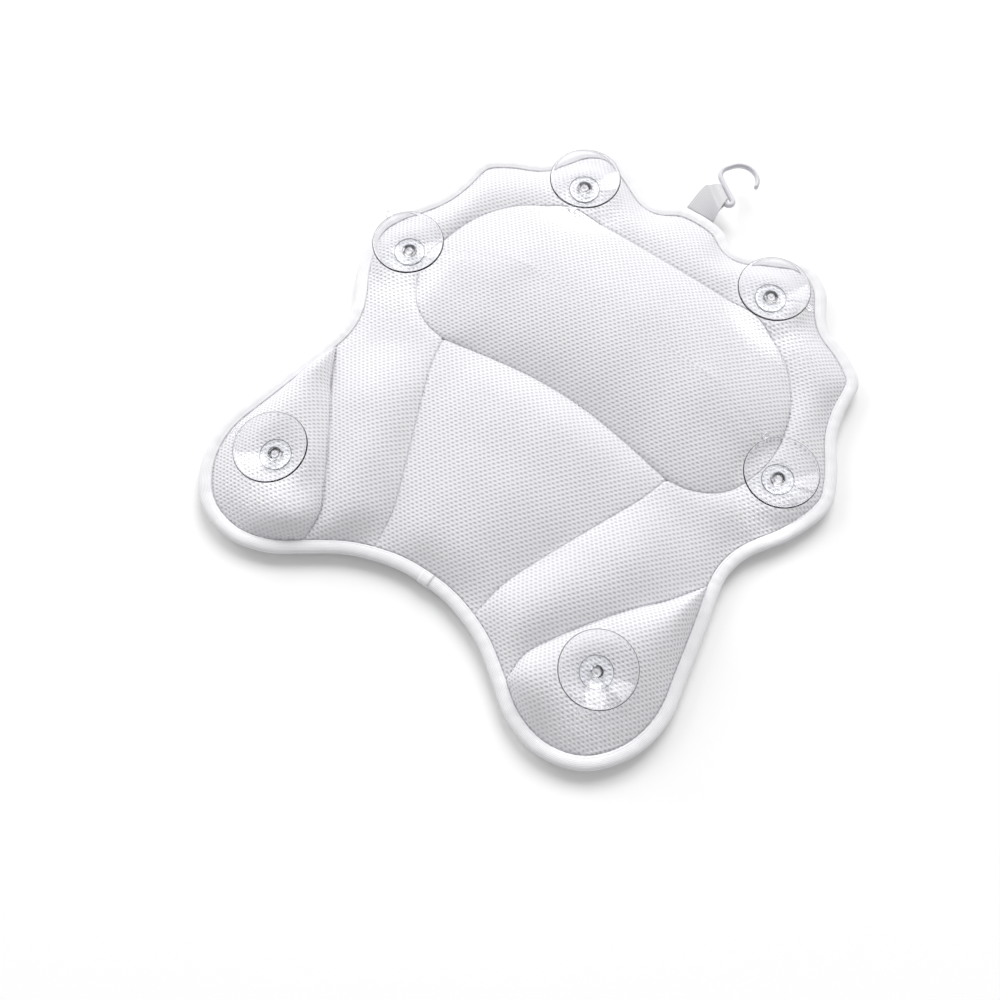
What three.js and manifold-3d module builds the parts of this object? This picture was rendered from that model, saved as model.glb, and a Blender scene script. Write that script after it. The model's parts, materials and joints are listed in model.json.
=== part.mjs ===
// Bath pillow with a scalloped crown, two wings, six suction cups and a hanging hook.
// It lies on its front, so the back with its cups faces up. Millimetres, +Z up, +Y towards the hook.
// The origin is on the flat underside, in the middle of the centre channel.
import * as THREE from "three";
import { mergeVertices } from "three/addons/utils/BufferGeometryUtils.js";
import Module from "manifold-3d";

const wasm = await Module();
wasm.setup();

// Pillow outline
const pillowWidth = 416;
const pillowLength = 439.5;
const halfWidth = pillowWidth / 2;

// Heights of the edge, the bolster seam and the crowns of the sewn channels
const edgeHeight = 9;
const bolsterSeamHeight = 23;
const bolsterSeamSideDrop = 8;
const innerSeamLift = 6;
const wingSeamLift = 11;
const bolsterRise = 19;
const bandCrownRise = 10;
const bandSideRise = 4;
const sidePanelRise = 9;
const centreRise = 9;
const wingRise = 15;
const floorPress = 0.5;

// Air-mesh covers and their fillings
const coverThickness = 3;
const seamThickness = 1.6;
const clearance = 0.3;
const fillingClearance = 0.7;
const seamHalf = clearance / 2 + seamThickness;
const bolsterSpineLength = 156;

// Edge binding, a tape folded round the edge
const tapeThickness = 0.9;
const bindingDepth = 8.5;
const flangeDepth = bindingDepth + 1;

// Suction cups, all alike
const cupRimRadius = 27.5;
const cupDepth = 10.6;
const cupLipWidth = 1.2;
const cupLipThickness = 0.9;
const cupFloorThickness = 3;
const cupHubRadius = 9.5;
const cupPitRadius = 3.5;
const cupPitDepth = 0.7;
const neckRadius = 3;
const headRadius = 5.2;
const headHeight = 3;
const headPointShare = 0.7;
const headRoundShares = [0.12, 0.6];
const dishCurve = 1.9;
const wallCurve = 0.6;
const dishStopShares = [1, 0.82, 0.64, 0.46, 0.28, 0.12, 0];
const dishBackShares = [0.44, 0.62, 0.8];
const pitFloorShare = 0.9;
const tabLength = 5.5;
const tabWidth = 6;
const tabThickness = 1.1;
const tabHoleRadius = 1.3;
const washerRadius = 12;
const washerThickness = 1.6;
const backingRadius = 8;
const pocketClearance = 0.6;

// Hanging strap, a webbing loop
const strapWidth = 24.7;
const strapAside = -3.5;
const webbingThickness = 1.2;
const strapRise = 10;

// Hook, a bent rod whose tail turns back under the strap's fold
const hookRodRadius = 2.2;
const hookBendRadius = hookRodRadius + clearance + webbingThickness / 2;
const hookBendStart = 2;
const hookTailReach = 16.5;
const hookLegLength = 24;
const hookCornerRadius = 8;
const hookRiser = 5.5;
const hookCurlRadius = 14;
const hookCurlSweep = THREE.MathUtils.degToRad(145);
const hookTurn = THREE.MathUtils.degToRad(145);
const hookLegSteps = 3;
const hookBendSteps = 6;
const hookCornerSteps = 5;
const hookCurlSteps = 10;
const hookSteps = 40;
const ballRows = 6;
const legEndX = 14.7;
const legEndReach = 18.6;

// Counts of facets
const cupSides = 20;
const boreSides = 6;
const pocketSides = 8;
const rodSides = 8;
const seatSamples = 48;
const seatRingShares = [0.25, 0.5, 0.75, 0.9, 1];
const seatMargin = 1.2;
const tolerance = 1e-9;
const pointsPerMillimetre = 1e3;
const curveSteps = 12;

const crownStops = 23;
const wingStops = 12;
const archPanelStops = 2;
const archCentreStops = 3;

// Right half of the outline from the crown's middle to the arch's middle,
// as shares of the half width and of the length
const outlineShares = [
  [0, 0.5610], [0.091, 0.5555], [0.183, 0.5315], [0.308, 0.5575], [0.433, 0.5815],
  [0.540, 0.5580], [0.634, 0.4920], [0.750, 0.4635], [0.841, 0.4270], [0.858, 0.3640],
  [0.885, 0.3165], [0.966, 0.2500], [1, 0.1980], [0.947, 0.1160], [0.861, 0.0480],
  [0.839, 0.0050], [0.846, -0.0300], [0.875, -0.0870], [0.913, -0.1710], [0.947, -0.2590],
  [0.913, -0.3345], [0.803, -0.3970], [0.644, -0.4165], [0.500, -0.3980], [0.404, -0.3670],
  [0.288, -0.3300], [0.197, -0.3115], [0.096, -0.2990], [0, -0.2960],
];
const wingStartIndex = 16;
const wingEndIndex = 24;
const centreStartIndex = 26;

// Right half of the bolster seam down to the top of the inner seam, and on to the middle
const bolsterSeamShares = [
  [0, 0.4205], [0.144, 0.4205], [0.288, 0.4195], [0.433, 0.4115], [0.587, 0.3740],
  [0.690, 0.3125], [0.738, 0.2305], [0.728, 0.1670], [0.663, 0.1100], [0.567, 0.0815], [0.481, 0.0735],
];
const bolsterFootShares = [[0.481, 0.0735], [0.288, 0.0885], [0.144, 0.0975], [0, 0.1010]];
const innerSeamShares = [
  [0.452, 0.0220], [0.413, -0.0230], [0.346, -0.0960], [0.284, -0.1640], [0.231, -0.2300],
];
const outerSeamShares = [
  [0.712, -0.1020], [0.654, -0.1360], [0.563, -0.1970], [0.486, -0.2540], [0.433, -0.3000],
];

// Rows of the surface, as shares across and along each channel
const bandRowShares = [0, 0.08, 0.35, 0.75, 1];
const wingRowShares = [0, 0.1, 0.28, 0.58, 0.86, 1];
const centreRowShares = [0, 0.08, 0.3, 0.5, 0.7, 0.92, 1];
const seamStopShares = [0, 0.06, 0.16, 0.32, 0.5, 0.68, 0.84, 0.94, 1];
const coarseStopShares = [0, 0.06, 0.25, 0.5, 0.75, 0.94, 1];
const bolsterRingShares = [0, 0.15, 0.45];
const spineYShare = 0.26;
const spineEndDropShare = 0.22;
const endTaperShare = 0.14;
const bandPeakShare = 0.45;
const wingPeakShare = 0.43;
const leanTo = (peakShare) => Math.log(0.5) / Math.log(peakShare);
const bandRiseShares = { full: 0.5, low: 1, panel: 1.3 };
const bandLevelShares = { from: 0.8, to: 1.4 };
const archPullPower = 4;
const fullness = 0.7;
const bolsterFullness = 0.5;
const underFullness = 1.4;
const fillingInsetShare = 0.5;
const fillingEdgeFullness = 1.1;

// Places of the cups' hubs on the right half, as shares, and the way each release tab points
const cupPlaces = [
  { name: "crown", xShare: 0.409, yShare: 0.4570, leftTab: -76, rightTab: 4 },
  { name: "side", xShare: 0.798, yShare: 0.1785, leftTab: 156, rightTab: 143 },
  { name: "wing", xShare: 0.668, yShare: -0.2685, leftTab: 188, rightTab: -79 },
];

// Finishes
const meshFabric = () => new THREE.MeshStandardMaterial({ color: 0xf1f1f4, roughness: 0.9 });
const tapeFabric = () => new THREE.MeshStandardMaterial({ color: 0xf5f5f6, roughness: 0.75 });
const webbing = () => new THREE.MeshStandardMaterial({ color: 0xf3f3f5, roughness: 0.8 });
const padding = () => new THREE.MeshStandardMaterial({ color: 0xfafafa, roughness: 1 });
const whitePlastic = () => new THREE.MeshStandardMaterial({ color: 0xf4f4f7, roughness: 0.3 });
const clearVinyl = () => new THREE.MeshStandardMaterial({
  color: 0xf2f5f8, roughness: 0.08, transparent: true, opacity: 0.4,
});

const group = new THREE.Group();

function addMesh(name, geometry, material, parent = group) {
  const mesh = new THREE.Mesh(geometry, material);
  mesh.name = name;
  parent.add(mesh);
  return mesh;
}

// Solids that can be joined and cut

function toSolid(geometry) {
  const bare = geometry.clone();
  bare.deleteAttribute("normal");
  bare.deleteAttribute("uv");
  const merged = mergeVertices(bare);
  return new wasm.Manifold(new wasm.Mesh({
    numProp: 3,
    vertProperties: new Float32Array(merged.attributes.position.array),
    triVerts: new Uint32Array(merged.index.array),
  }));
}

function toGeometry(solid) {
  const mesh = solid.getMesh();
  const geometry = new THREE.BufferGeometry();
  geometry.setAttribute("position", new THREE.BufferAttribute(mesh.vertProperties, 3));
  geometry.setIndex(new THREE.BufferAttribute(mesh.triVerts, 1));
  return geometry;
}

function subtractAll(geometry, cutters) {
  const solid = cutters.reduce((rest, cutter) => rest.subtract(toSolid(cutter)), toSolid(geometry));
  return toGeometry(solid);
}

// Curves in plan, with the seam's height as z

const planPoint = ([xShare, yShare], height) =>
  new THREE.Vector3(xShare * halfWidth, yShare * pillowLength, height);

const mirrored = (point) => new THREE.Vector3(-point.x, point.y, point.z);

function smoothCurve(points) {
  return new THREE.CatmullRomCurve3(points, false, "centripetal");
}

function mirroredClosedCurve(points) {
  const left = points.slice(1, -1).map(mirrored).reverse();
  return new THREE.CatmullRomCurve3([...points, ...left], true, "centripetal");
}

// The stretch of a closed curve between two of its control points, in steps of equal length
function stretchOfCurve(curve, from, to, steps) {
  const dense = [];
  for (let i = from * curveSteps; i <= to * curveSteps; i += 1) {
    dense.push(curve.getPoint(i / (curveSteps * curve.points.length)));
  }
  const reach = [0];
  for (let i = 1; i < dense.length; i += 1) {
    reach.push(reach[i - 1] + dense[i].distanceTo(dense[i - 1]));
  }
  const stops = [];
  for (let step = 0; step <= steps; step += 1) {
    const target = (reach.at(-1) * step) / steps;
    const next = Math.max(1, reach.findIndex((length) => length >= target - tolerance));
    const part = (target - reach[next - 1]) / (reach[next] - reach[next - 1]);
    stops.push(dense[next - 1].clone().lerp(dense[next], part));
  }
  return stops;
}

// A point at a share of the way along a row of points with equal steps
function alongRow(row, share) {
  const place = share * (row.length - 1);
  const index = Math.min(Math.floor(place), row.length - 2);
  return row[index].clone().lerp(row[index + 1], place - index);
}

const outlineCurve = mirroredClosedCurve(outlineShares.map((pair) => planPoint(pair, edgeHeight)));
const outlineHalf = [
  stretchOfCurve(outlineCurve, 0, wingStartIndex, crownStops),
  stretchOfCurve(outlineCurve, wingStartIndex, wingEndIndex, wingStops),
  stretchOfCurve(outlineCurve, wingEndIndex, centreStartIndex, archPanelStops),
  stretchOfCurve(outlineCurve, centreStartIndex, outlineShares.length - 1, archCentreStops),
];
const outlineRight = outlineHalf.flatMap((stretch, k) => (k ? stretch.slice(1) : stretch));
const outlineLoop = [...outlineRight, ...outlineRight.slice(1, -1).map(mirrored).reverse()];

// The outline moved inwards, point by point
function insetLoop(depth) {
  return outlineLoop.map((point, i) => {
    const before = outlineLoop.at(i - 1);
    const after = outlineLoop[(i + 1) % outlineLoop.length];
    const along = after.clone().sub(before).setZ(0).normalize();
    return new THREE.Vector3(point.x + along.y * depth, point.y - along.x * depth, point.z);
  });
}

const innerLoop = insetLoop(flangeDepth);
const wingFrom = crownStops;
const wingTo = crownStops + wingStops;
const centreFrom = wingTo + archPanelStops;
const crownLine = innerLoop.slice(0, wingFrom + 1);
const wingLine = innerLoop.slice(wingFrom, wingTo + 1);
const archPanelLine = innerLoop.slice(wingTo, centreFrom + 1).reverse();
const archCentreLine = innerLoop.slice(centreFrom, centreFrom + 2 * archCentreStops + 1).reverse();

// The bolster seam and the four quilting seams
const bolsterWidthShare = Math.max(...bolsterSeamShares.map(([xShare]) => xShare));
const bolsterSeamPoint = (pair) => planPoint(
  pair, bolsterSeamHeight - bolsterSeamSideDrop * (pair[0] / bolsterWidthShare) ** 2,
);
const bolsterSeam = smoothCurve(bolsterSeamShares.map(bolsterSeamPoint));
const footHalf = bolsterFootShares.map(bolsterSeamPoint);
const bolsterFoot = smoothCurve([...footHalf, ...footHalf.slice(0, -1).map(mirrored).reverse()]);

function seamBetween(start, shares, end, lift) {
  const points = [start, ...shares.map((pair) => planPoint(pair, edgeHeight)), end];
  points.forEach((point, i) => {
    const share = i / (points.length - 1);
    point.z = THREE.MathUtils.lerp(start.z, end.z, share) + lift * Math.sin(Math.PI * share);
  });
  return smoothCurve(points);
}

const innerSeam = seamBetween(
  bolsterSeam.getPointAt(1), innerSeamShares, archPanelLine[0].clone(), innerSeamLift,
);
const outerSeam = seamBetween(
  crownLine.at(-1).clone(), outerSeamShares, wingLine.at(-1).clone(), wingSeamLift,
);

// Channels of the pillow. Each gives the plan place, seam height and fullness at two shares.

const puff = (share, power) => Math.sin(Math.PI * Math.min(1, Math.max(0, share))) ** power;
const endPuff = (share) => puff(Math.min(share / endTaperShare, 1) / 2, fullness);

function channelPoint(place, share, rise) {
  const press = (place.z - seamHalf + floorPress) * Math.min(1, underFullness * share);
  return { x: place.x, y: place.y, seam: place.z, share, rise: rise * share, press };
}

function bandRiseAt(along) {
  const { full, low, panel } = bandRiseShares;
  const ease = THREE.MathUtils.smoothstep;
  const dip = THREE.MathUtils.lerp(bandCrownRise, bandSideRise, ease(along, full, low));
  return THREE.MathUtils.lerp(dip, sidePanelRise, ease(along, low, panel));
}

// The border band runs from the crown (0) past the wing's start (1) to the arch (2)
function bandAt(along, across) {
  const below = along > 1;
  const share = below ? along - 1 : along;
  const inner = below ? innerSeam.getPointAt(share) : bolsterSeam.getPointAt(share);
  const outer = below ? outerSeam.getPointAt(share) : alongRow(crownLine, share);
  const place = inner.clone().lerp(outer, across);
  if (below) {
    const chord = archPanelLine[0].clone().lerp(archPanelLine.at(-1), across);
    place.add(alongRow(archPanelLine, across).sub(chord).multiplyScalar(share ** archPullPower));
  }
  const level = THREE.MathUtils.smoothstep(along, bandLevelShares.from, bandLevelShares.to);
  const lean = THREE.MathUtils.lerp(leanTo(bandPeakShare), 1, level);
  const taper = below ? endPuff(1 - share) : 1;
  return channelPoint(place, puff(across ** lean, fullness) * taper, bandRiseAt(along));
}

function wingAt(along, across) {
  const place = outerSeam.getPointAt(along).lerp(alongRow(wingLine, along), across);
  const ends = Math.min(endPuff(along), endPuff(1 - along));
  return channelPoint(place, puff(across ** leanTo(wingPeakShare), fullness) * ends, wingRise);
}

// The centre channel, spanned between its four border lines
function centreAt(along, across) {
  const left = mirrored(innerSeam.getPointAt(along));
  const right = innerSeam.getPointAt(along);
  const top = bolsterFoot.getPointAt(1 - across);
  const foot = alongRow(archCentreLine, across);
  const place = left.lerp(right, across).add(top.clone().lerp(foot, along));
  const topChord = mirrored(innerSeam.getPointAt(0)).lerp(innerSeam.getPointAt(0), across);
  const footChord = mirrored(innerSeam.getPointAt(1)).lerp(innerSeam.getPointAt(1), across);
  place.sub(topChord.lerp(footChord, along));
  const ends = Math.min(endPuff(along), endPuff(1 - along));
  return channelPoint(place, puff(across, fullness) * ends, centreRise);
}

// The bolster's seam runs down the right side (0 to 1), along the foot (to 2) and up the left (to 3)
function bolsterSeamAt(around) {
  if (around <= 1) {
    return bolsterSeam.getPointAt(around);
  }
  return around <= 2 ? bolsterFoot.getPointAt(around - 1) : mirrored(bolsterSeam.getPointAt(3 - around));
}

const spineHalf = bolsterSpineLength / 2;
const bolsterHalfWidth = bolsterWidthShare * halfWidth;

function bolsterPoint(seamPlace, spineX, inwards) {
  const spine = new THREE.Vector3(spineX, spineYShare * pillowLength, bolsterSeamHeight);
  const sag = 1 - spineEndDropShare * (spineX / spineHalf) ** 2;
  const share = puff(inwards / 2, bolsterFullness);
  return channelPoint(seamPlace.lerp(spine, inwards), share, bolsterRise * sag);
}

function bolsterAt(around, inwards) {
  const place = bolsterSeamAt(around);
  return bolsterPoint(place, (place.x / bolsterHalfWidth) * spineHalf, inwards);
}

// Surface mesh in plan, zipped together row by row

const mixPoints = (a, b, share) => Object.fromEntries(
  Object.keys(a).map((key) => [key, THREE.MathUtils.lerp(a[key], b[key], share)]),
);

class PlanMesh {
  constructor() {
    this.points = [];
    this.faces = [];
    this.known = new Map();
  }

  index(point) {
    const key = [point.x, point.y].map((value) => Math.round(value * pointsPerMillimetre)).join();
    if (!this.known.has(key)) {
      this.known.set(key, this.points.length);
      this.points.push(point);
    }
    return this.known.get(key);
  }

  face(a, b, c) {
    const [p, q, r] = [a, b, c].map((i) => this.points[i]);
    const area = (q.x - p.x) * (r.y - p.y) - (r.x - p.x) * (q.y - p.y);
    if (new Set([a, b, c]).size === 3) {
      this.faces.push(area > 0 ? [a, b, c] : [a, c, b]);
    }
  }

  // A row holds entries of { at, point }, in rising order of at
  zip(rowA, rowB) {
    const a = rowA.map((entry) => this.index(entry.point));
    const b = rowB.map((entry) => this.index(entry.point));
    let i = 0;
    let j = 0;
    while (i < a.length - 1 || j < b.length - 1) {
      const nextA = i < a.length - 1 ? rowA[i + 1].at : Infinity;
      const nextB = j < b.length - 1 ? rowB[j + 1].at : Infinity;
      if (nextA <= nextB + tolerance) {
        this.face(a[i], a[i + 1], b[j]);
        i += 1;
      } else {
        this.face(a[i], b[j + 1], b[j]);
        j += 1;
      }
    }
  }

  zipAll(rows) {
    rows.slice(1).forEach((row, k) => this.zip(rows[k], row));
  }

  // Closed solid between two height functions of the points
  solid(upper, lower) {
    const count = this.points.length;
    const position = [upper, lower].flatMap((height) => this.points.flatMap((p) => [p.x, p.y, height(p)]));
    const index = [];
    const edges = new Map();
    this.faces.forEach(([a, b, c]) => {
      index.push(a, b, c, c + count, b + count, a + count);
      [[a, b], [b, c], [c, a]].forEach(([from, to]) => edges.set(`${from},${to}`, [from, to]));
    });
    edges.forEach(([from, to]) => {
      if (!edges.has(`${to},${from}`)) {
        index.push(from, from + count, to + count, from, to + count, to);
      }
    });
    const geometry = new THREE.BufferGeometry();
    geometry.setAttribute("position", new THREE.Float32BufferAttribute(position, 3));
    geometry.setIndex(index);
    return geometry;
  }

  // Height at a place, from the face that holds it
  heightAt(x, y, height) {
    for (const face of this.faces) {
      const [p, q, r] = face.map((i) => this.points[i]);
      const area = (q.x - p.x) * (r.y - p.y) - (r.x - p.x) * (q.y - p.y);
      const shareQ = ((x - p.x) * (r.y - p.y) - (r.x - p.x) * (y - p.y)) / area;
      const shareR = ((q.x - p.x) * (y - p.y) - (x - p.x) * (q.y - p.y)) / area;
      if (Math.min(shareQ, shareR, 1 - shareQ - shareR) >= -tolerance) {
        return height(p) * (1 - shareQ - shareR) + height(q) * shareQ + height(r) * shareR;
      }
    }
    return NaN;
  }
}

// Stops along a row, in sections of equal or given steps
const evenShares = (steps) => Array.from({ length: steps + 1 }, (_, i) => i / steps);
const joinSections = (sections) => sections.flatMap((shares, k) =>
  shares.slice(k ? 1 : 0).map((share) => k + share));

// Rows of a channel. With an inset, each named side is drawn in from its seam, for a filling.
function channelRows(at, acrossShares, stopsOfRow, sides = {}) {
  const drawnIn = (values, k, first, last) => {
    if (k === 0 && first) {
      return values[1];
    }
    return k === values.length - 1 && last ? values[k - 1] : values[k];
  };
  return acrossShares.map((across, row) => {
    const stops = stopsOfRow(row);
    const nearAcross = drawnIn(acrossShares, row, sides.start, sides.end);
    return stops.map((along, k) => {
      const nearAlong = drawnIn(stops, k, sides.first, sides.last);
      const here = mixPoints(at(along, across), at(along, nearAcross), fillingInsetShare);
      const near = mixPoints(at(nearAlong, across), at(nearAlong, nearAcross), fillingInsetShare);
      return { at: along, point: mixPoints(here, near, fillingInsetShare) };
    });
  });
}

const flipPoint = (point) => ({ ...point, x: -point.x });
const flipRows = (rows) => rows.map((row) => row.map(({ at, point }) => ({ at, point: flipPoint(point) })));

const bandStops = [16, 17, 19, 21, crownStops];
const panelStopShares = [
  seamStopShares, coarseStopShares, coarseStopShares, coarseStopShares, seamStopShares,
];
const bandRowStops = (row) => joinSections([evenShares(bandStops[row]), panelStopShares[row]]);
const wingStopCounts = [9, 9, 10, 11, wingStops];
const wingStopShares = [seamStopShares, ...wingStopCounts.map(evenShares)];
const ringStops = [[16, null], [12, 4], [7, 4]];
const spineStops = 6;

function bolsterStops(ring) {
  const [side, foot] = ringStops[ring];
  const footShares = foot ? evenShares(foot) : centreRowShares;
  return joinSections([evenShares(side), footShares, evenShares(side)]);
}

const rowsOf = {
  band: (sides) => channelRows(bandAt, bandRowShares, bandRowStops, sides),
  wing: (sides) => channelRows(wingAt, wingRowShares, (row) => wingStopShares[row], sides),
  centre: (sides) => channelRows(centreAt, centreRowShares, () => seamStopShares, sides),
  bolster: (sides) => channelRows(bolsterAt, bolsterRingShares, bolsterStops, sides),
};

function addBolster(mesh, sides) {
  const rings = rowsOf.bolster(sides);
  mesh.zipAll(rings);
  const top = rings.at(-1).slice(0, -1).map((entry) => entry.point);
  const xs = top.map((point) => point.x);
  const right = xs.indexOf(Math.max(...xs));
  const left = xs.indexOf(Math.min(...xs));
  const byX = (points) => points.map((point) => ({ at: point.x, point }));
  const crown = byX([...top.slice(left), ...top.slice(0, right + 1)]);
  const foot = byX(top.slice(right, left + 1).reverse());
  const spine = byX(evenShares(spineStops).map((share) => {
    const spineX = (share * 2 - 1) * spineHalf;
    const place = new THREE.Vector3(spineX, spineYShare * pillowLength, bolsterSeamHeight);
    return bolsterPoint(place, spineX, 1);
  }));
  mesh.zip(crown, spine);
  mesh.zip(spine, foot);
}

function addFlange(mesh) {
  const flat = (place) => channelPoint(place, 0, 0);
  const halfStops = joinSections([
    evenShares(crownStops), evenShares(wingStops), evenShares(archPanelStops), evenShares(archCentreStops),
  ]);
  const archStops = bandRowShares.map((share) => 1 - share).reverse();
  const footShares = centreRowShares.filter((share) => share <= 0.5).map((share) => share * 2);
  const innerStops = joinSections([evenShares(crownStops), evenShares(wingStops), archStops, footShares]);
  const innerAt = (stop) => {
    const lines = [crownLine, wingLine, archPanelLine, archCentreLine];
    const section = Math.min(lines.length - 1, Math.floor(stop));
    const share = stop - section;
    return alongRow(lines[section], [share, share, 1 - share, 1 - share / 2][section]);
  };
  const coverEdge = insetLoop(tapeThickness + clearance);
  const outer = halfStops.map((at, i) => ({ at, point: flat(coverEdge[i]) }));
  const inner = innerStops.map((at) => ({ at, point: flat(innerAt(at)) }));
  mesh.zip(outer, inner);
  const [outerLeft, innerLeft] = flipRows([outer, inner]);
  mesh.zip(outerLeft, innerLeft);
}

const coverMesh = new PlanMesh();
addBolster(coverMesh);
coverMesh.zipAll(rowsOf.centre());
[rowsOf.band(), rowsOf.wing()].forEach((rows) => {
  coverMesh.zipAll(rows);
  coverMesh.zipAll(flipRows(rows));
});
addFlange(coverMesh);

const thicknessAt = (p) => THREE.MathUtils.lerp(seamThickness, coverThickness, p.share);
const backOutside = (p) => p.seam + seamHalf + p.rise;
const backInside = (p) => backOutside(p) - thicknessAt(p);
const frontOutside = (p) => Math.max(0, p.seam - seamHalf - p.press);
const frontInside = (p) => frontOutside(p) + thicknessAt(p);

// Seats of the cups on the back cover

function discSamples(x, y, radius) {
  const samples = [[x, y]];
  seatRingShares.forEach((ring) => {
    for (let k = 0; k < seatSamples; k += 1) {
      const angle = (k / seatSamples) * Math.PI * 2;
      samples.push([x + Math.cos(angle) * radius * ring, y + Math.sin(angle) * radius * ring]);
    }
  });
  return samples;
}

function seatAt(x, y) {
  const slope = (dx, dy) => (
    coverMesh.heightAt(x + dx, y + dy, backOutside) - coverMesh.heightAt(x - dx, y - dy, backOutside)
  ) / (2 * backingRadius);
  const normal = new THREE.Vector3(-slope(backingRadius, 0), -slope(0, backingRadius), 1).normalize();
  const level = (height) => ([sx, sy]) =>
    new THREE.Vector3(sx, sy, coverMesh.heightAt(sx, sy, height)).dot(normal);
  const hub = new THREE.Vector3(x, y, coverMesh.heightAt(x, y, backOutside));
  const over = discSamples(x, y, washerRadius * seatMargin).map(level(backOutside));
  const under = discSamples(x, y, backingRadius * seatMargin).map(level(backInside));
  const high = Math.max(...over) + clearance;
  const low = Math.min(...under) - clearance;
  return { origin: hub.addScaledVector(normal, high - hub.dot(normal)), normal, grip: high - low };
}

const cups = cupPlaces.flatMap(({ name, xShare, yShare, leftTab, rightTab }) => [
  { name: `left_${name}`, seat: seatAt(-xShare * halfWidth, yShare * pillowLength), tab: leftTab },
  { name: `right_${name}`, seat: seatAt(xShare * halfWidth, yShare * pillowLength), tab: rightTab },
]);
const grip = Math.max(...cups.map((cup) => cup.seat.grip));

// Heights along a cup's axis, from the outer washer's underside
const hubBottom = washerThickness + clearance;
const dishFloor = hubBottom + cupFloorThickness;
const rimTop = dishFloor + cupDepth;
const backingTop = -grip;
const headTop = backingTop - washerThickness - clearance;
const headBottom = headTop - headHeight;

function placeOnSeat(geometry, seat, turn = 0) {
  const frame = new THREE.Object3D();
  frame.position.copy(seat.origin);
  frame.quaternion.setFromUnitVectors(new THREE.Vector3(0, 0, 1), seat.normal);
  frame.rotateZ(turn);
  frame.updateMatrix();
  return geometry.applyMatrix4(frame.matrix);
}

// Turned bodies have their axis along +Z
function turned(profile, sides) {
  const points = profile.map(([radius, height]) => new THREE.Vector2(radius, height));
  return new THREE.LatheGeometry(points, sides).rotateX(Math.PI / 2);
}

function ringBody(innerRadius, outerRadius, bottom, height, sides) {
  return turned([
    [innerRadius, bottom], [outerRadius, bottom], [outerRadius, bottom + height],
    [innerRadius, bottom + height], [innerRadius, bottom],
  ], sides);
}

// A prism whose flats stay clear of a round of the given radius
function drilledRound(radius, bottom, top, sides) {
  const corner = radius / Math.cos(Math.PI / sides);
  return turned([[0, bottom], [corner, bottom], [corner, top], [0, top]], sides);
}

function suctionCup(tabAngle) {
  const dish = (share) => dishFloor + cupDepth * share ** dishCurve;
  const spread = (share) => THREE.MathUtils.lerp(cupPitRadius, cupRimRadius - cupLipWidth, share);
  const wallAt = (share) => THREE.MathUtils.lerp(cupFloorThickness, cupLipThickness, share ** wallCurve);
  const profile = [
    [0, headBottom], [headRadius * headPointShare, headBottom + headHeight * headRoundShares[0]],
    [headRadius, headBottom + headHeight * headRoundShares[1]], [headRadius, headTop],
    [neckRadius, headTop], [neckRadius, hubBottom], [cupHubRadius, hubBottom],
    [cupHubRadius + cupLipWidth, dishFloor - clearance],
    ...dishBackShares.map((share) => [spread(share) + cupLipWidth, dish(share) - wallAt(share) / 2]),
    [cupRimRadius, rimTop - cupLipThickness], [cupRimRadius, rimTop],
    ...dishStopShares.map((share) => [spread(share), dish(share)]),
    [cupPitRadius * pitFloorShare, dishFloor - cupPitDepth], [0, dishFloor - cupPitDepth],
  ];
  const reach = cupRimRadius + tabLength - tabWidth / 2;
  const outline = new THREE.Shape();
  outline.moveTo(cupRimRadius - cupLipWidth, -tabWidth / 2);
  outline.lineTo(reach, -tabWidth / 2);
  outline.absarc(reach, 0, tabWidth / 2, -Math.PI / 2, Math.PI / 2, false);
  outline.lineTo(cupRimRadius - cupLipWidth, tabWidth / 2);
  const hole = new THREE.Path();
  hole.absarc(reach, 0, tabHoleRadius, 0, Math.PI * 2, true);
  outline.holes.push(hole);
  const tab = new THREE.ExtrudeGeometry(outline, {
    depth: tabThickness, bevelEnabled: false, curveSegments: 4,
  });
  tab.translate(0, 0, rimTop - clearance - tabThickness);
  const whole = toGeometry(toSolid(turned(profile, cupSides)).add(toSolid(tab)));
  return whole.rotateZ(THREE.MathUtils.degToRad(tabAngle));
}

// Covers and binding

const boreRadius = neckRadius + clearance;
const bores = cups.map(({ seat }) =>
  placeOnSeat(drilledRound(boreRadius, backingTop - coverThickness, hubBottom, boreSides), seat));
addMesh("back_cover", subtractAll(coverMesh.solid(backOutside, backInside), bores), meshFabric());
addMesh("front_cover", coverMesh.solid(frontInside, frontOutside), meshFabric());

function loopSolid(sections) {
  const sides = sections[0].length;
  const position = sections.flatMap((section) => section.flatMap((point) => point.toArray()));
  const index = [];
  sections.forEach((_, i) => {
    const next = (i + 1) % sections.length;
    for (let k = 0; k < sides; k += 1) {
      const after = (k + 1) % sides;
      const [a, b] = [i * sides + k, i * sides + after];
      const [c, d] = [next * sides + after, next * sides + k];
      index.push(a, c, b, a, d, c);
    }
  });
  const geometry = new THREE.BufferGeometry();
  geometry.setAttribute("position", new THREE.Float32BufferAttribute(position, 3));
  geometry.setIndex(index);
  return geometry;
}

function edgeBinding() {
  const inside = seamHalf + clearance;
  const outside = inside + tapeThickness;
  const section = [
    [bindingDepth, outside], [0, outside], [0, -outside], [bindingDepth, -outside],
    [bindingDepth, -inside], [tapeThickness, -inside], [tapeThickness, inside], [bindingDepth, inside],
  ];
  const loops = section.map(([depth, height]) =>
    insetLoop(depth).map((point) => point.setZ(point.z + height)));
  return loopSolid(outlineLoop.map((_, i) => loops.map((loop) => loop[i])));
}

addMesh("edge_binding", edgeBinding(), tapeFabric());

// Fillings, with pockets for the backs of the cups

const allSides = { start: true, end: true, first: true, last: true };
const pockets = cups.map(({ seat }) => placeOnSeat(
  drilledRound(backingRadius + pocketClearance, headBottom - pocketClearance, rimTop, pocketSides), seat,
));

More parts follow.
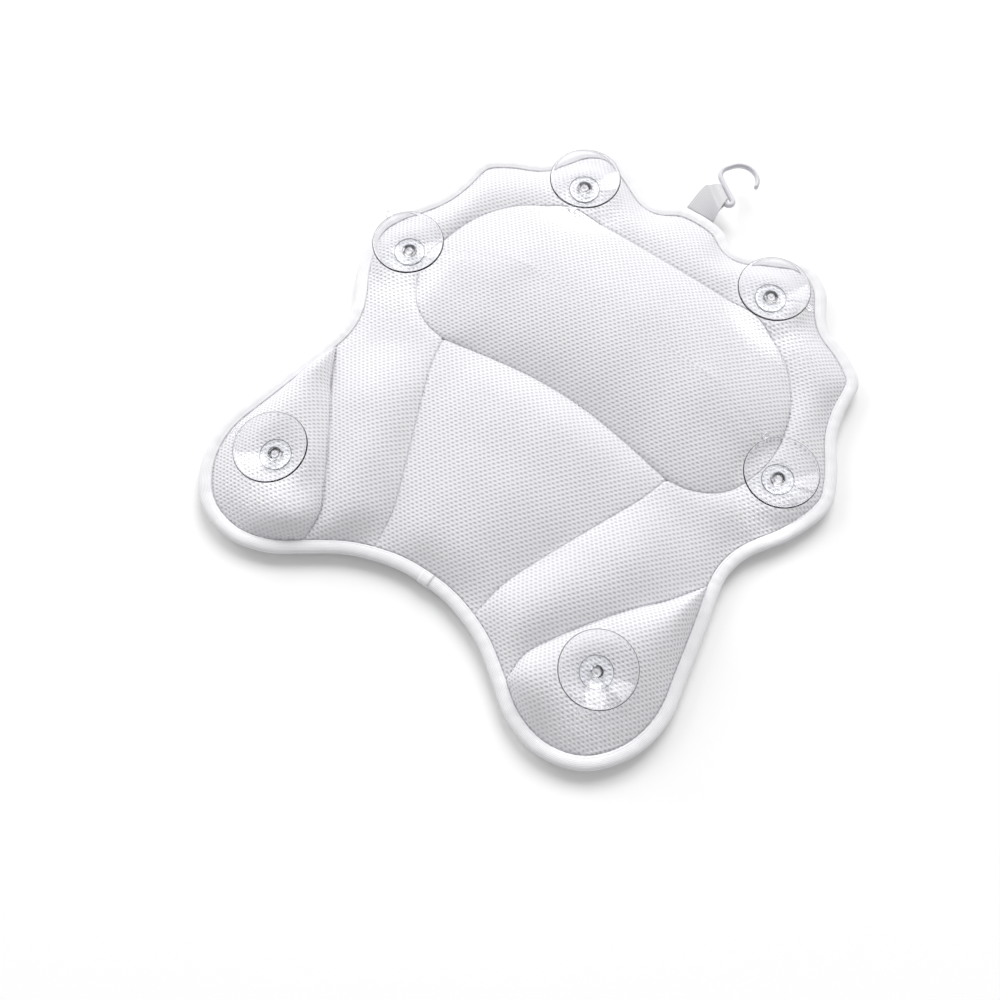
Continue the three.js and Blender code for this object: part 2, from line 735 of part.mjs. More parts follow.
function addFilling(name, build) {
  const mesh = new PlanMesh();
  build(mesh);
  const fitted = (cover, gap) => (p) => {
    const middle = coverMesh.heightAt(p.x, p.y, (q) => (backInside(q) + frontInside(q)) / 2);
    const reach = coverMesh.heightAt(p.x, p.y, cover) + gap - middle;
    return middle + reach * Math.min(1, p.share * fillingEdgeFullness);
  };
  const upper = fitted(backInside, -fillingClearance);
  const lower = fitted(frontInside, fillingClearance);
  addMesh(name, subtractAll(mesh.solid(upper, lower), pockets), padding());
}

addFilling("bolster_filling", (mesh) => addBolster(mesh, { start: true }));
addFilling("centre_filling", (mesh) => mesh.zipAll(rowsOf.centre(allSides)));
addFilling("border_filling", (mesh) => {
  const rows = rowsOf.band({ start: true, end: true, last: true });
  mesh.zipAll(rows);
  mesh.zipAll(flipRows(rows));
});
addFilling("right_wing_filling", (mesh) => mesh.zipAll(rowsOf.wing(allSides)));
addFilling("left_wing_filling", (mesh) => mesh.zipAll(flipRows(rowsOf.wing(allSides))));

// Cups with their washers outside and inside the cover

cups.forEach(({ name, seat, tab }) => {
  const washer = ringBody(boreRadius, washerRadius, 0, washerThickness, cupSides);
  const backingBottom = backingTop - washerThickness;
  const backing = ringBody(boreRadius, backingRadius, backingBottom, washerThickness, cupSides);
  addMesh(`${name}_cup`, placeOnSeat(suctionCup(tab), seat), clearVinyl());
  addMesh(`${name}_washer`, placeOnSeat(washer, seat), clearVinyl());
  addMesh(`${name}_backing_washer`, placeOnSeat(backing, seat), clearVinyl());
});

// Hook and strap. The hook lies level, with its leg beside the strap and its tail in the strap's loop.

const crownEdge = outlineLoop[0].y;
const strapStart = crownEdge + clearance + webbingThickness;
const legHeight = edgeHeight + strapRise;
const legEnd = new THREE.Vector3(legEndX, crownEdge + legEndReach, legHeight);
const legAlong = new THREE.Vector3(Math.cos(hookTurn), Math.sin(hookTurn), 0);
const hookSide = new THREE.Vector3(Math.sin(hookTurn), -Math.cos(hookTurn), 0);
const hookPoint = (along, aside) =>
  legEnd.clone().addScaledVector(legAlong, along).addScaledVector(hookSide, aside);

function hookGeometry() {
  const path = [];
  const straight = (from, to, aside) => evenShares(hookLegSteps).forEach((share) => {
    path.push(hookPoint(THREE.MathUtils.lerp(from, to, share), aside));
  });
  straight(hookTailReach, hookBendStart, -2 * hookBendRadius);
  evenShares(hookBendSteps).slice(1, -1).forEach((share) => {
    const angle = share * Math.PI;
    path.push(hookPoint(
      hookBendStart - hookBendRadius * Math.sin(angle), -hookBendRadius * (1 + Math.cos(angle)),
    ));
  });
  straight(hookBendStart, hookLegLength, 0);
  evenShares(hookCornerSteps).slice(1).forEach((share) => {
    const angle = (share * Math.PI) / 2;
    path.push(hookPoint(
      hookLegLength + hookCornerRadius * Math.sin(angle), hookCornerRadius * (1 - Math.cos(angle)),
    ));
  });
  const curlAlong = hookLegLength + hookCornerRadius - hookCurlRadius;
  evenShares(hookCurlSteps).forEach((share) => {
    const angle = share * hookCurlSweep;
    path.push(hookPoint(
      curlAlong + hookCurlRadius * Math.cos(angle),
      hookCornerRadius + hookRiser + hookCurlRadius * Math.sin(angle),
    ));
  });
  const section = new THREE.Shape();
  section.absarc(0, 0, hookRodRadius, 0, Math.PI * 2, false);
  const rod = new THREE.ExtrudeGeometry(section, {
    steps: hookSteps, curveSegments: rodSides / 2, bevelEnabled: false, extrudePath: smoothCurve(path),
  });
  const ball = (centre) =>
    new THREE.SphereGeometry(hookRodRadius, rodSides, ballRows).translate(...centre.toArray());
  return toGeometry(toSolid(rod).add(toSolid(ball(path[0]))).add(toSolid(ball(path.at(-1)))));
}

// The strap's two layers lie together from the edge binding to the eye, then part round the tail.
// A stop on the strap is counted from the tail's axis: how far away it is and how far the layers part.
const eyeStops = [[2.6, 2.15], [4.4, 1.1], [6, 0.2]];
const sewnStops = [[7, 0]];
const strapSlack = { left: [-14, 22], right: [9, 4] };
const wrapStops = { left: 19, right: 2.2 };
const wrapSlants = { left: -0.36, right: 0.7 };
const wrapAngles = [90, 60, 30, 0, -30, -60, -90].map(THREE.MathUtils.degToRad);
const baseAngles = [-60, -30, 0, 30, 60].map(THREE.MathUtils.degToRad);
const strapWidthShares = evenShares(4);
const strapLengthShares = [0, 0.35, 0.7];

function hangingStrap() {
  const eyeRadius = hookRodRadius + clearance;
  const between = ({ left, right }, width) => THREE.MathUtils.lerp(left, right, width);
  const tailAt = (width) => hookPoint(between(wrapStops, width), -2 * hookBendRadius);
  const baseAt = (width) =>
    new THREE.Vector3(strapAside + (width - 0.5) * strapWidth, strapStart, edgeHeight);
  const slackLeft = new THREE.Vector3(strapSlack.left[0], strapStart + strapSlack.left[1], 0);
  const slackRight = new THREE.Vector3(strapSlack.right[0], strapStart + strapSlack.right[1], 0);
  const slackAt = (width) => slackLeft.clone().lerp(slackRight, width);
  const arrivalAt = (width) => hookSide.clone().addScaledVector(legAlong, between(wrapSlants, width));
  const nearTail = (distance, height) => (width) =>
    tailAt(width).addScaledVector(arrivalAt(width), -distance).setZ(legHeight + height);
  const alongStrap = (share, height) => (width) => {
    const far = nearTail(sewnStops[0][0], 0)(width);
    const bend = new THREE.QuadraticBezierCurve3(baseAt(width), slackAt(width), far);
    const place = bend.getPoint(share);
    return place.setZ(edgeHeight + strapRise * Math.sin((Math.PI / 2) * share) + height);
  };
  const roundTail = (radius) => (angle) => (width) => tailAt(width)
    .addScaledVector(arrivalAt(width), radius * Math.cos(angle))
    .setZ(legHeight + radius * Math.sin(angle));
  const sides = (half, stops) => stops.map(([distance, parting]) => nearTail(distance, half * parting));
  const layerStops = [...sewnStops, ...[...eyeStops].reverse()];
  const layer = (half) => [
    ...strapLengthShares.map((share) => alongStrap(share, half * webbingThickness)),
    ...layerStops.map(([distance, parting]) => nearTail(distance, half * (parting + webbingThickness))),
  ];
  const roundBase = baseAngles.map((angle) => (width) => baseAt(width).add(
    new THREE.Vector3(0, -webbingThickness * Math.cos(angle), webbingThickness * Math.sin(angle)),
  ));
  const outer = [
    ...roundBase,
    ...layer(1),
    ...wrapAngles.map(roundTail(eyeRadius + webbingThickness)),
    ...layer(-1).reverse(),
  ];
  const eye = [
    ...sides(1, [...eyeStops].reverse()),
    ...wrapAngles.map(roundTail(eyeRadius)),
    ...sides(-1, eyeStops),
  ];
  return ruledRing(outer, eye, strapWidthShares);
}

// A closed body with a hole through it, ruled across its width between two side faces
function ruledRing(outer, eye, widths) {
  const position = [];
  const index = [];
  const columns = outer.length + eye.length;
  widths.forEach((width) => [...outer, ...eye].forEach((at) => position.push(...at(width).toArray())));
  const band = (start, count, flip) => {
    for (let w = 0; w < widths.length - 1; w += 1) {
      for (let k = 0; k < count; k += 1) {
        const a = w * columns + start + k;
        const b = w * columns + start + ((k + 1) % count);
        const quad = [a, b, b + columns, a, b + columns, a + columns];
        index.push(...(flip ? quad : quad.reverse()));
      }
    }
  };
  band(0, outer.length, false);
  band(outer.length, eye.length, true);
  const flat = (list) => list.map((at) => new THREE.Vector2(at(1).y, at(1).z));
  const faces = THREE.ShapeUtils.triangulateShape(flat(outer), [flat(eye)]);
  const last = (widths.length - 1) * columns;
  faces.forEach(([a, b, c]) => index.push(c, b, a, a + last, b + last, c + last));
  const geometry = new THREE.BufferGeometry();
  geometry.setAttribute("position", new THREE.Float32BufferAttribute(position, 3));
  geometry.setIndex(index);
  return geometry;
}

addMesh("hanging_strap", hangingStrap(), webbing());
addMesh("hook", hookGeometry(), whitePlastic());

export default group;
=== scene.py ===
"""Looks for a quilted air-mesh bath pillow that lies on its front, with its suction cups up."""

import json
import math

import bmesh
import bpy
import numpy as np
from mathutils import Matrix, Vector


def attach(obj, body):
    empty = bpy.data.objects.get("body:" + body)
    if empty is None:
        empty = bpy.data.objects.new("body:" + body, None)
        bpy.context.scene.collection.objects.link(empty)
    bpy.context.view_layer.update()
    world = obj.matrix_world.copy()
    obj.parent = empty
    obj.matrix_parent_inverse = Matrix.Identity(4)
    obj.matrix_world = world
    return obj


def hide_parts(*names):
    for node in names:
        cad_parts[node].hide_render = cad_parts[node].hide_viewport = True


bl_info = {
    "name": "Bath Pillow",
    "version": (1, 0, 0),
    "blender": (4, 5, 0),
    "location": "3D View > Sidebar > Bath Pillow",
    "description": "Builds a quilted air-mesh bath pillow with suction cups, strap and hook",
    "category": "Object",
}

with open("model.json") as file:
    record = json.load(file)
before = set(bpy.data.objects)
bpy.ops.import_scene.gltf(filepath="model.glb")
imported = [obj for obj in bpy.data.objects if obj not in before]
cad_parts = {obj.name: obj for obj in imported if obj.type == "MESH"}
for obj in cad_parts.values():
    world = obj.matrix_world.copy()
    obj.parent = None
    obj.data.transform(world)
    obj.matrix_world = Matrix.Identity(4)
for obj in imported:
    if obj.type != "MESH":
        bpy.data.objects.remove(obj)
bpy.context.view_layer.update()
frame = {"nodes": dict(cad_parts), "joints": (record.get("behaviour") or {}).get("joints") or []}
joints = {joint["name"]: joint for joint in frame["joints"]}

MM = 0.001
FILLINGS = (
    "bolster_filling", "centre_filling", "border_filling", "left_wing_filling", "right_wing_filling",
)

# Right half of the pillow's sewn lines seen from above, in millimetres.
# The outline runs from the crown's middle round the wing to the arch's middle.
OUTLINE = [
    (0, 246.6), (18.9, 244.1), (38.1, 233.6), (64.1, 245.0), (90.1, 255.6),
    (112.3, 245.2), (131.9, 216.2), (156.0, 203.7), (174.9, 187.7), (178.5, 160.0),
    (184.1, 139.1), (200.9, 109.9), (208.0, 87.0), (197.0, 51.0), (179.1, 21.1),
    (174.5, 2.2), (176.0, -13.2), (182.0, -38.2), (189.9, -75.2), (197.0, -113.8),
    (189.9, -147.0), (167.0, -174.5), (134.0, -183.1), (104.0, -174.9), (84.0, -161.3),
    (59.9, -145.0), (41.0, -136.9), (20.0, -131.4), (0, -130.1),
]
WING_START, WING_END, CENTRE_START = 16, 24, 26
BOLSTER_SEAM = [
    (0, 184.8), (30.0, 184.8), (59.9, 184.4), (90.1, 180.9), (122.1, 164.4), (143.5, 137.3),
    (153.5, 101.3), (151.4, 73.4), (137.9, 48.3), (117.9, 35.8), (100.0, 32.3),
]
BOLSTER_FOOT = [(100.0, 32.3), (59.9, 38.9), (30.0, 42.9), (0, 44.4)]
INNER_SEAM = [(94.0, 9.7), (85.9, -10.1), (72.0, -42.2), (59.1, -72.1), (48.0, -101.1)]
OUTER_SEAM = [(148.1, -44.8), (136.0, -59.8), (117.1, -86.6), (101.1, -111.6), (90.1, -131.8)]
SPINE_Y, SPINE_HALF = 114.3, 78.0

# Places along the thread of one stitch, as shares of its length
STITCH_STOPS = (0, 0.12, 0.5, 0.88, 1)

# How deep inside the edge the panels start, and the rows of the flat margin under the tape
FOLD_DEPTH = 9.5
MARGIN_DEPTHS = (10.2, 6, 1.6)

# The suction cups, and the way each one's release tab points, in degrees from its +X
CUPS = {
    "left_crown": -76, "right_crown": 4, "left_side": 156,
    "right_side": 143, "left_wing": 188, "right_wing": -79,
}


# Sizes and colours


def length_property(label, about, default, least=0.0):
    """A length property, given in millimetres."""
    return bpy.props.FloatProperty(
        name=label, description=about, default=default * MM, min=least * MM, unit="LENGTH",
    )


def power_property(label, about, default):
    return bpy.props.FloatProperty(
        name=label, description=about, default=default, min=0, unit="POWER",
    )


def angle_property(label, about, degrees):
    return bpy.props.FloatProperty(
        name=label, description=about, default=math.radians(degrees), subtype="ANGLE",
    )


def colour_property(label, about, default):
    return bpy.props.FloatVectorProperty(
        name=label, description=about, default=default, min=0, max=1, size=4, subtype="COLOR",
    )


class BATHPILLOW_PG_quilt(bpy.types.PropertyGroup):
    """The two air-mesh covers and the channels sewn through them"""

    edge_height: length_property("Edge height", "Height of the sewn edge's middle above the floor", 9)
    crease_height: length_property("Crease height", "Height of the seam round the head bolster", 23)
    crease_side_drop: length_property(
        "Crease side drop", "How much lower that seam runs at the bolster's two ends", 8,
    )
    inner_seam_lift: length_property(
        "Inner seam lift", "How far the seam beside the centre rises in its middle", 6,
    )
    wing_seam_lift: length_property(
        "Wing seam lift", "How far the seam beside a wing rises in its middle", 11,
    )
    bolster_rise: length_property("Bolster rise", "Height of the head bolster above its seam", 18)
    crown_rise: length_property(
        "Crown rise", "Height of the border band at the crown, between its cups", 5.5,
    )
    side_rise: length_property("Side rise", "Height of the border band at the sides", 4)
    panel_rise: length_property("Side panel rise", "Height of the panels beside the centre", 9)
    centre_rise: length_property("Centre rise", "Height of the centre panel", 9)
    wing_rise: length_property("Wing rise", "Height of the wings", 15)
    seam_half: length_property(
        "Seam half", "Half the thickness of the covers where they are sewn together", 1.75,
    )
    floor_press: length_property("Floor press", "How far the front would sink without the floor", 0.5)
    cloth_thickness: length_property("Cloth thickness", "Thickness of the air mesh", 1.2)
    sample: length_property(
        "Sample", "Distance between the points of a panel before it is smoothed", 5.5, 1,
    )
    wale: length_property("Wale", "Distance between two holes in a row of the air mesh", 4.15, 0.1)
    course: length_property(
        "Course", "Distance from a row of holes to the next one in line with it", 5.1, 0.1,
    )
    hole_radius: length_property("Hole radius", "Radius of a hole in the air mesh", 0.76, 0.1)
    thread_colour: colour_property("Thread colour", "Colour of the mesh's threads", (0.81, 0.803, 0.834, 1))
    # The hole colour is partly the padding's own tone seen through the mesh and partly painted shade of the
    # hollow under it.
    hole_shade_colour: colour_property("Hole colour", "Colour seen down the mesh's holes", (0.675, 0.665, 0.7, 1))


class BATHPILLOW_PG_binding(bpy.types.PropertyGroup):
    """The woven tape round the edge, and the sewing thread"""

    depth: length_property("Depth", "How far the tape reaches in from the edge", 9.2, 1)
    thickness: length_property("Thickness", "Thickness of the tape", 0.9, 0.1)
    stitch: length_property("Stitch", "Distance from one stitch to the next", 3.4, 1)
    thread: length_property("Thread", "Thickness of the sewing thread", 0.5, 0.1)
    colour: colour_property("Colour", "Colour of the tape", (0.93, 0.922, 0.945, 1))


class BATHPILLOW_PG_cups(bpy.types.PropertyGroup):
    """The clear suction cups and their washers"""

    rim_radius: length_property("Rim radius", "Radius of a cup's rim", 27.5, 1)
    depth: length_property("Depth", "Depth of a cup's dish", 10.6, 1)
    floor_height: length_property(
        "Floor height", "Height of the dish's floor above the washer's underside", 4.9,
    )
    washer_radius: length_property("Washer radius", "Radius of the washer under a cup", 12, 1)
    washer_thickness: length_property("Washer thickness", "Thickness of the washer under a cup", 1.6, 0.1)
    colour: colour_property("Colour", "Tint of the clear vinyl", (0.985, 0.99, 1.0, 1))
    # Painted shade: this dark tint stands in for the thin dark line seen along the clear vinyl's rims and
    # washer edges; it is not a colour of the vinyl.
    rim_shade_colour: colour_property(
        "Rim shade colour", "Tint of the vinyl's edges, where light runs far inside it", (0.16, 0.165, 0.18, 1),
    )


class BATHPILLOW_PG_hanger(bpy.types.PropertyGroup):
    """The webbing strap and the hook in it"""

    strap_width: length_property("Strap width", "Width of the webbing at the crown", 24.7, 1)
    webbing_thickness: length_property("Webbing thickness", "Thickness of one layer of webbing", 1.2, 0.1)
    strap_colour: colour_property("Strap colour", "Colour of the webbing", (0.78, 0.775, 0.8, 1))
    rod_radius: length_property("Rod radius", "Radius of the hook's rod", 2.2, 0.1)
    hook_colour: colour_property("Hook colour", "Colour of the hook", (0.66, 0.66, 0.7, 1))


class BATHPILLOW_PG_stage(bpy.types.PropertyGroup):
    """Floor, light and camera"""

    azimuth: angle_property("Azimuth", "Way the camera looks, counted from +Y towards -X", 35.3)
    elevation: angle_property("Elevation", "Camera's angle above the floor", 68.14)
    distance: length_property("Distance", "Camera's distance from the point it looks at", 973.4, 100)
    lens: bpy.props.FloatProperty(
        name="Lens", description="Focal length of the camera in millimetres", default=47.53, min=1,
    )
    key_power: power_property("Key power", "Power of the large soft lamp", 245)
    window_power: power_property("Window power", "Power of the tall lamp at the side", 100)
    glint_power: power_property("Glint power", "Power of the small low lamp that the cups' walls mirror", 1.0)
    ambient: bpy.props.FloatProperty(
        name="Ambient", description="Strength of the light from all round", default=0.47, min=0,
    )
    floor_colour: colour_property("Floor colour", "Colour of the floor", (1.0, 1.0, 1.0, 1))


# Lines in plan


class Line:
    """A line through close points, read at shares of its length."""

    def __init__(self, points, measured_on=None):
        self.points = np.asarray(points, float)
        guide = self.points if measured_on is None else np.asarray(measured_on, float)
        steps = np.linalg.norm(np.diff(guide[:, :2], axis=0), axis=1)
        self.reach = np.concatenate([[0], np.cumsum(steps)])

    def at(self, shares):
        target = np.asarray(shares, float) * self.reach[-1]
        return np.stack([np.interp(target, self.reach, axis) for axis in self.points.T], axis=-1)


def smooth_points(points, closed=False, steps=14):
    """Close points of a smooth line through the given ones."""
    points = np.asarray(points, float)
    if closed:
        guide = np.vstack([points[-1:], points, points[:2]])
    else:
        guide = np.vstack([2 * points[:1] - points[1:2], points, 2 * points[-1:] - points[-2:-1]])
    t = np.linspace(0, 1, steps, endpoint=False)[:, None]
    spans = []
    for a, b, c, d in zip(guide[:-3], guide[1:-2], guide[2:-1], guide[3:]):
        first, middle, last = (
            max(np.linalg.norm(q - p), 1e-9) ** 0.5 for p, q in ((a, b), (b, c), (c, d))
        )
        leave = ((b - a) / first - (c - a) / (first + middle) + (c - b) / middle) * middle
        arrive = ((c - b) / middle - (d - b) / (middle + last) + (d - c) / last) * middle
        spans.append(
            (2 * t**3 - 3 * t**2 + 1) * b + (t**3 - 2 * t**2 + t) * leave
            + (3 * t**2 - 2 * t**3) * c + (t**3 - t**2) * arrive
        )
    if not closed:
        spans.append(points[-1:])
    return np.vstack(spans)


def mirrored(points):
    return np.asarray(points, float) * [-1, 1, 1]


def raised(points, heights):
    """Plan points in millimetres with a height, as points in metres."""
    plan = np.asarray(points, float) * MM
    return np.column_stack([plan, np.broadcast_to(heights, len(plan))])


def mixed(a, b, share):
    return a + (b - a) * np.asarray(share)[..., None]


def eased(value, low, high):
    t = np.clip((value - low) / (high - low), 0, 1)
    return t * t * (3 - 2 * t)


def puff(share, power):
    return np.sin(np.pi * np.clip(share, 0, 1)) ** power


def lean_to(peak):
    return math.log(0.5) / math.log(peak)


class Plan:
    """Sewn lines of the pillow, and the surface of each channel between them."""

    FULLNESS = 0.95
    BOLSTER_FULLNESS = 0.75
    SPINE_SAG = 0.22
    BAND_PEAK = 0.45
    WING_PEAK = 0.43
    END_TAPER = 0.18
    FRONT_STEEPNESS = 1.4

    # Stretches of the border, from the crown (0) over the side (1) to the arch (2), where it changes
    LEAN_STRETCH = (0.8, 1.4)
    SIDE_STRETCH = (0.5, 1)
    PANEL_STRETCH = (1, 1.3)

    def __init__(self, sizes):
        self.sizes = sizes
        steps = 14
        right = raised(OUTLINE, sizes.edge_height)
        controls = np.vstack([right, mirrored(right[1:-1])[::-1]])
        self.edge = smooth_points(controls, closed=True, steps=steps)
        fold = self.inset(FOLD_DEPTH * MM)

        def stretch(first, last):
            here = slice(first * steps, last * steps + 1)
            return Line(fold[here], measured_on=self.edge[here])

        half = len(OUTLINE) - 1
        self.crown = stretch(0, WING_START)
        self.wing = stretch(WING_START, WING_END)
        self.arch_panel = Line(fold[WING_END * steps:CENTRE_START * steps + 1][::-1])
        self.arch_centre = Line(fold[CENTRE_START * steps:(2 * half - CENTRE_START) * steps + 1][::-1])
        self.crease = Line(smooth_points(self.crease_points(BOLSTER_SEAM)))
        foot = self.crease_points(BOLSTER_FOOT)
        self.foot = Line(smooth_points(np.vstack([foot, mirrored(foot[:-1])[::-1]])))
        self.inner = self.seam(self.crease.at(1), INNER_SEAM, self.arch_panel.at(0), sizes.inner_seam_lift)
        self.outer = self.seam(self.crown.at(1), OUTER_SEAM, self.wing.at(1), sizes.wing_seam_lift)

    def crease_points(self, points):
        """Points of the seam round the bolster, lower towards the bolster's ends."""
        widest = max(x for x, _ in BOLSTER_SEAM)
        share = np.array([x / widest for x, _ in points])
        return raised(points, self.sizes.crease_height - self.sizes.crease_side_drop * share**2)

    def inset(self, depth):
        """The edge moved inwards, and eased where it would bunch up."""
        span = 3
        along = np.roll(self.edge, -span, axis=0) - np.roll(self.edge, span, axis=0)
        along /= np.linalg.norm(along, axis=1)[:, None]
        moved = self.edge + np.column_stack([along[:, 1], -along[:, 0], np.zeros(len(along))]) * depth
        passes = int(round(depth / MM))
        for _ in range(passes):
            moved = (np.roll(moved, 1, axis=0) + 2 * moved + np.roll(moved, -1, axis=0)) / 4
        return moved

    def seam(self, start, points, end, lift):
        places = np.vstack([start, raised(points, 0), end])
        share = np.linspace(0, 1, len(places))
        places[:, 2] = start[2] + (end[2] - start[2]) * share + lift * np.sin(np.pi * share)
        return Line(smooth_points(places))

    def end_puff(self, share):
        return puff(np.minimum(share / self.END_TAPER, 1) / 2, self.FULLNESS)

    def band(self, along, across):
        """Border from the left arch (-2) over the crown (0) to the right arch (2)."""
        size = self.sizes
        reach = np.abs(along)
        below = reach > 1
        share = np.where(below, reach - 1, reach)
        inner = np.where(below[..., None], self.inner.at(share), self.crease.at(share))
        outer = np.where(below[..., None], self.outer.at(share), self.crown.at(share))
        place = mixed(inner, outer, across)
        chord = mixed(self.arch_panel.at(0), self.arch_panel.at(1), across)
        bow = (self.arch_panel.at(across) - chord) * (share**4)[..., None]
        place = place + np.where(below[..., None], bow, 0)
        place[..., 0] *= np.where(along < 0, -1, 1)
        lean = lean_to(self.BAND_PEAK)
        lean = lean + (1 - lean) * eased(reach, *self.LEAN_STRETCH)
        full = puff(across**lean, self.FULLNESS) * np.where(below, self.end_puff(1 - share), 1)
        rise = size.crown_rise + (size.side_rise - size.crown_rise) * eased(reach, *self.SIDE_STRETCH)
        rise = rise + (size.panel_rise - rise) * eased(reach, *self.PANEL_STRETCH)
        return place, full, rise

    def wing_panel(self, along, across):
        place = mixed(self.outer.at(along), self.wing.at(along), across)
        ends = np.minimum(self.end_puff(along), self.end_puff(1 - along))
        return place, puff(across ** lean_to(self.WING_PEAK), self.FULLNESS) * ends, self.sizes.wing_rise

    def centre(self, along, across):
        left, right = mirrored(self.inner.at(along)), self.inner.at(along)
        top, foot = self.foot.at(1 - across), self.arch_centre.at(across)
        place = mixed(left, right, across) + mixed(top, foot, along)
        top_chord = mixed(mirrored(self.inner.at(0)), self.inner.at(0), across)
        foot_chord = mixed(mirrored(self.inner.at(1)), self.inner.at(1), across)
        place = place - mixed(top_chord, foot_chord, along)
        ends = np.minimum(self.end_puff(along), self.end_puff(1 - along))
        return place, puff(across, self.FULLNESS) * ends, self.sizes.centre_rise

    def bolster(self, along, across):
        """Across runs from the foot seam (0) over the spine (0.5) to the top seam (1)."""
        size = self.sizes
        ring = self.crease.points
        widest = int(np.argmax(ring[:, 0]))
        half = ring[widest, 0]
        top, side = ring[:widest + 1], ring[widest:]
        foot = self.foot.points[self.foot.points[:, 0] >= 0]
        under = np.vstack([side, foot])[::-1]
        x = -half * np.cos(np.pi * along)
        upper, lower = (
            [np.interp(np.abs(x), line[:, 0], line[:, axis]) for axis in (1, 2)] for line in (top, under)
        )
        inwards = 1 - np.abs(2 * across - 1)
        seam_y, seam_z = (np.where(across < 0.5, low, high) for low, high in zip(lower, upper))
        spine_half = SPINE_HALF * MM
        spine_x = x / half * spine_half
        place = np.stack([
            x + (spine_x - x) * inwards,
            seam_y + (SPINE_Y * MM - seam_y) * inwards,
            seam_z + (size.crease_height - seam_z) * inwards,
        ], axis=-1)
        sag = 1 - self.SPINE_SAG * eased(np.abs(spine_x), 0, spine_half)
        return place, puff(inwards / 2, self.BOLSTER_FULLNESS), size.bolster_rise * sag

    def heights(self, place, full, rise, back):
        """Outer surface of the back cover, or of the front cover."""
        size = self.sizes
        surface = place.copy()
        if back:
            surface[..., 2] = place[..., 2] + size.seam_half + full * rise
        else:
            low = place[..., 2] - size.seam_half
            drop = (low + size.floor_press) * np.minimum(1, self.FRONT_STEEPNESS * full)
            surface[..., 2] = np.maximum(0, low - drop)
        return surface


# Meshes


def link_mesh(name, vertices, faces, smooth=True):
    mesh = bpy.data.meshes.new(name)
    mesh.from_pydata([tuple(v) for v in vertices], [], [tuple(f) for f in faces])
    mesh.validate()
    mesh.update()
    mesh.polygons.foreach_set("use_smooth", [smooth] * len(mesh.polygons))
    piece = bpy.data.objects.new(name, mesh)
    bpy.context.scene.collection.objects.link(piece)
    return piece


def add_lay(piece, lay):
    """Stores where each corner lies on the flat cloth, in metres."""
    layer = piece.data.uv_layers.new(name="lay")
    layer.data.foreach_set("uv", np.asarray(lay, float).ravel())


def apply_modifiers(piece):
    depsgraph = bpy.context.evaluated_depsgraph_get()
    mesh = bpy.data.meshes.new_from_object(piece.evaluated_get(depsgraph))
    old = piece.data
    piece.modifiers.clear()
    piece.data = mesh
    bpy.data.meshes.remove(old)


def closed_sweep(rings, closed):
    """Faces that join rings of equal size, with flat ends unless the sweep is closed."""
    count, sides = len(rings), len(rings[0])
    faces = []
    for i in range(count if closed else count - 1):
        after = (i + 1) % count
        for k in range(sides):
            turn = (k + 1) % sides
            faces.append((i * sides + k, after * sides + k, after * sides + turn, i * sides + turn))
    if not closed:
        faces.append(tuple(range(sides)))
        faces.append(tuple(range(count * sides - 1, (count - 1) * sides - 1, -1)))
    return faces


def sweep(name, rings, closed=False, lay=None):
    rings = np.asarray(rings, float)
    faces = closed_sweep(rings, closed)
    piece = link_mesh(name, rings.reshape(-1, 3), faces)
    mesh = bmesh.new()
    mesh.from_mesh(piece.data)
    bmesh.ops.recalc_face_normals(mesh, faces=mesh.faces)
    mesh.to_mesh(piece.data)
    mesh.free()
    if lay is not None:
        corners = np.empty(len(piece.data.loops), int)
        piece.data.loops.foreach_get("vertex_index", corners)
        flat = np.asarray(lay, float).reshape(-1, 2)[corners]
        add_lay(piece, unbroken(piece.data, flat))
    return piece


def unbroken(mesh, flat):
    """Keeps a face that closes a ring from stretching back over the whole lay."""
    limit = 20 * MM
    flat = flat.copy()
    for polygon in mesh.polygons:
        loops = list(polygon.loop_indices)
        if len(loops) > 4:
            continue
        for axis in (0, 1):
            values = flat[loops, axis]
            if values.max() - values.min() > limit:
                flat[loops, axis] = np.where(values < values.mean(), values + limit, values)
                high = flat[loops, axis].max()
                flat[loops, axis] = np.where(values < high - limit, high, values)
    return flat


def lathe(profile, sides):
    """Turned body about +Z. The profile starts and ends on the axis, or closes on itself."""
    profile = np.asarray(profile, float)
    on_axis = profile[0][0] == 0
    angles = np.linspace(0, 2 * math.pi, sides, endpoint=False)
    rim = profile[1:-1] if on_axis else profile
    vertices = [
        (radius * math.cos(a), radius * math.sin(a), z) for a in angles for radius, z in rim
    ]
    count = len(rim)
    faces = []
    for i in range(sides):
        after = (i + 1) % sides
        for k in range(count - 1 if on_axis else count):
            up = (k + 1) % count
            faces.append((i * count + k, after * count + k, after * count + up, i * count + up))
    if on_axis:
        low, high = len(vertices), len(vertices) + 1
        vertices += [(0, 0, profile[0][1]), (0, 0, profile[-1][1])]
        for i in range(sides):
            after = (i + 1) % sides
            faces.append((low, after * count, i * count))
            faces.append((high, i * count + count - 1, after * count + count - 1))
    return vertices, faces


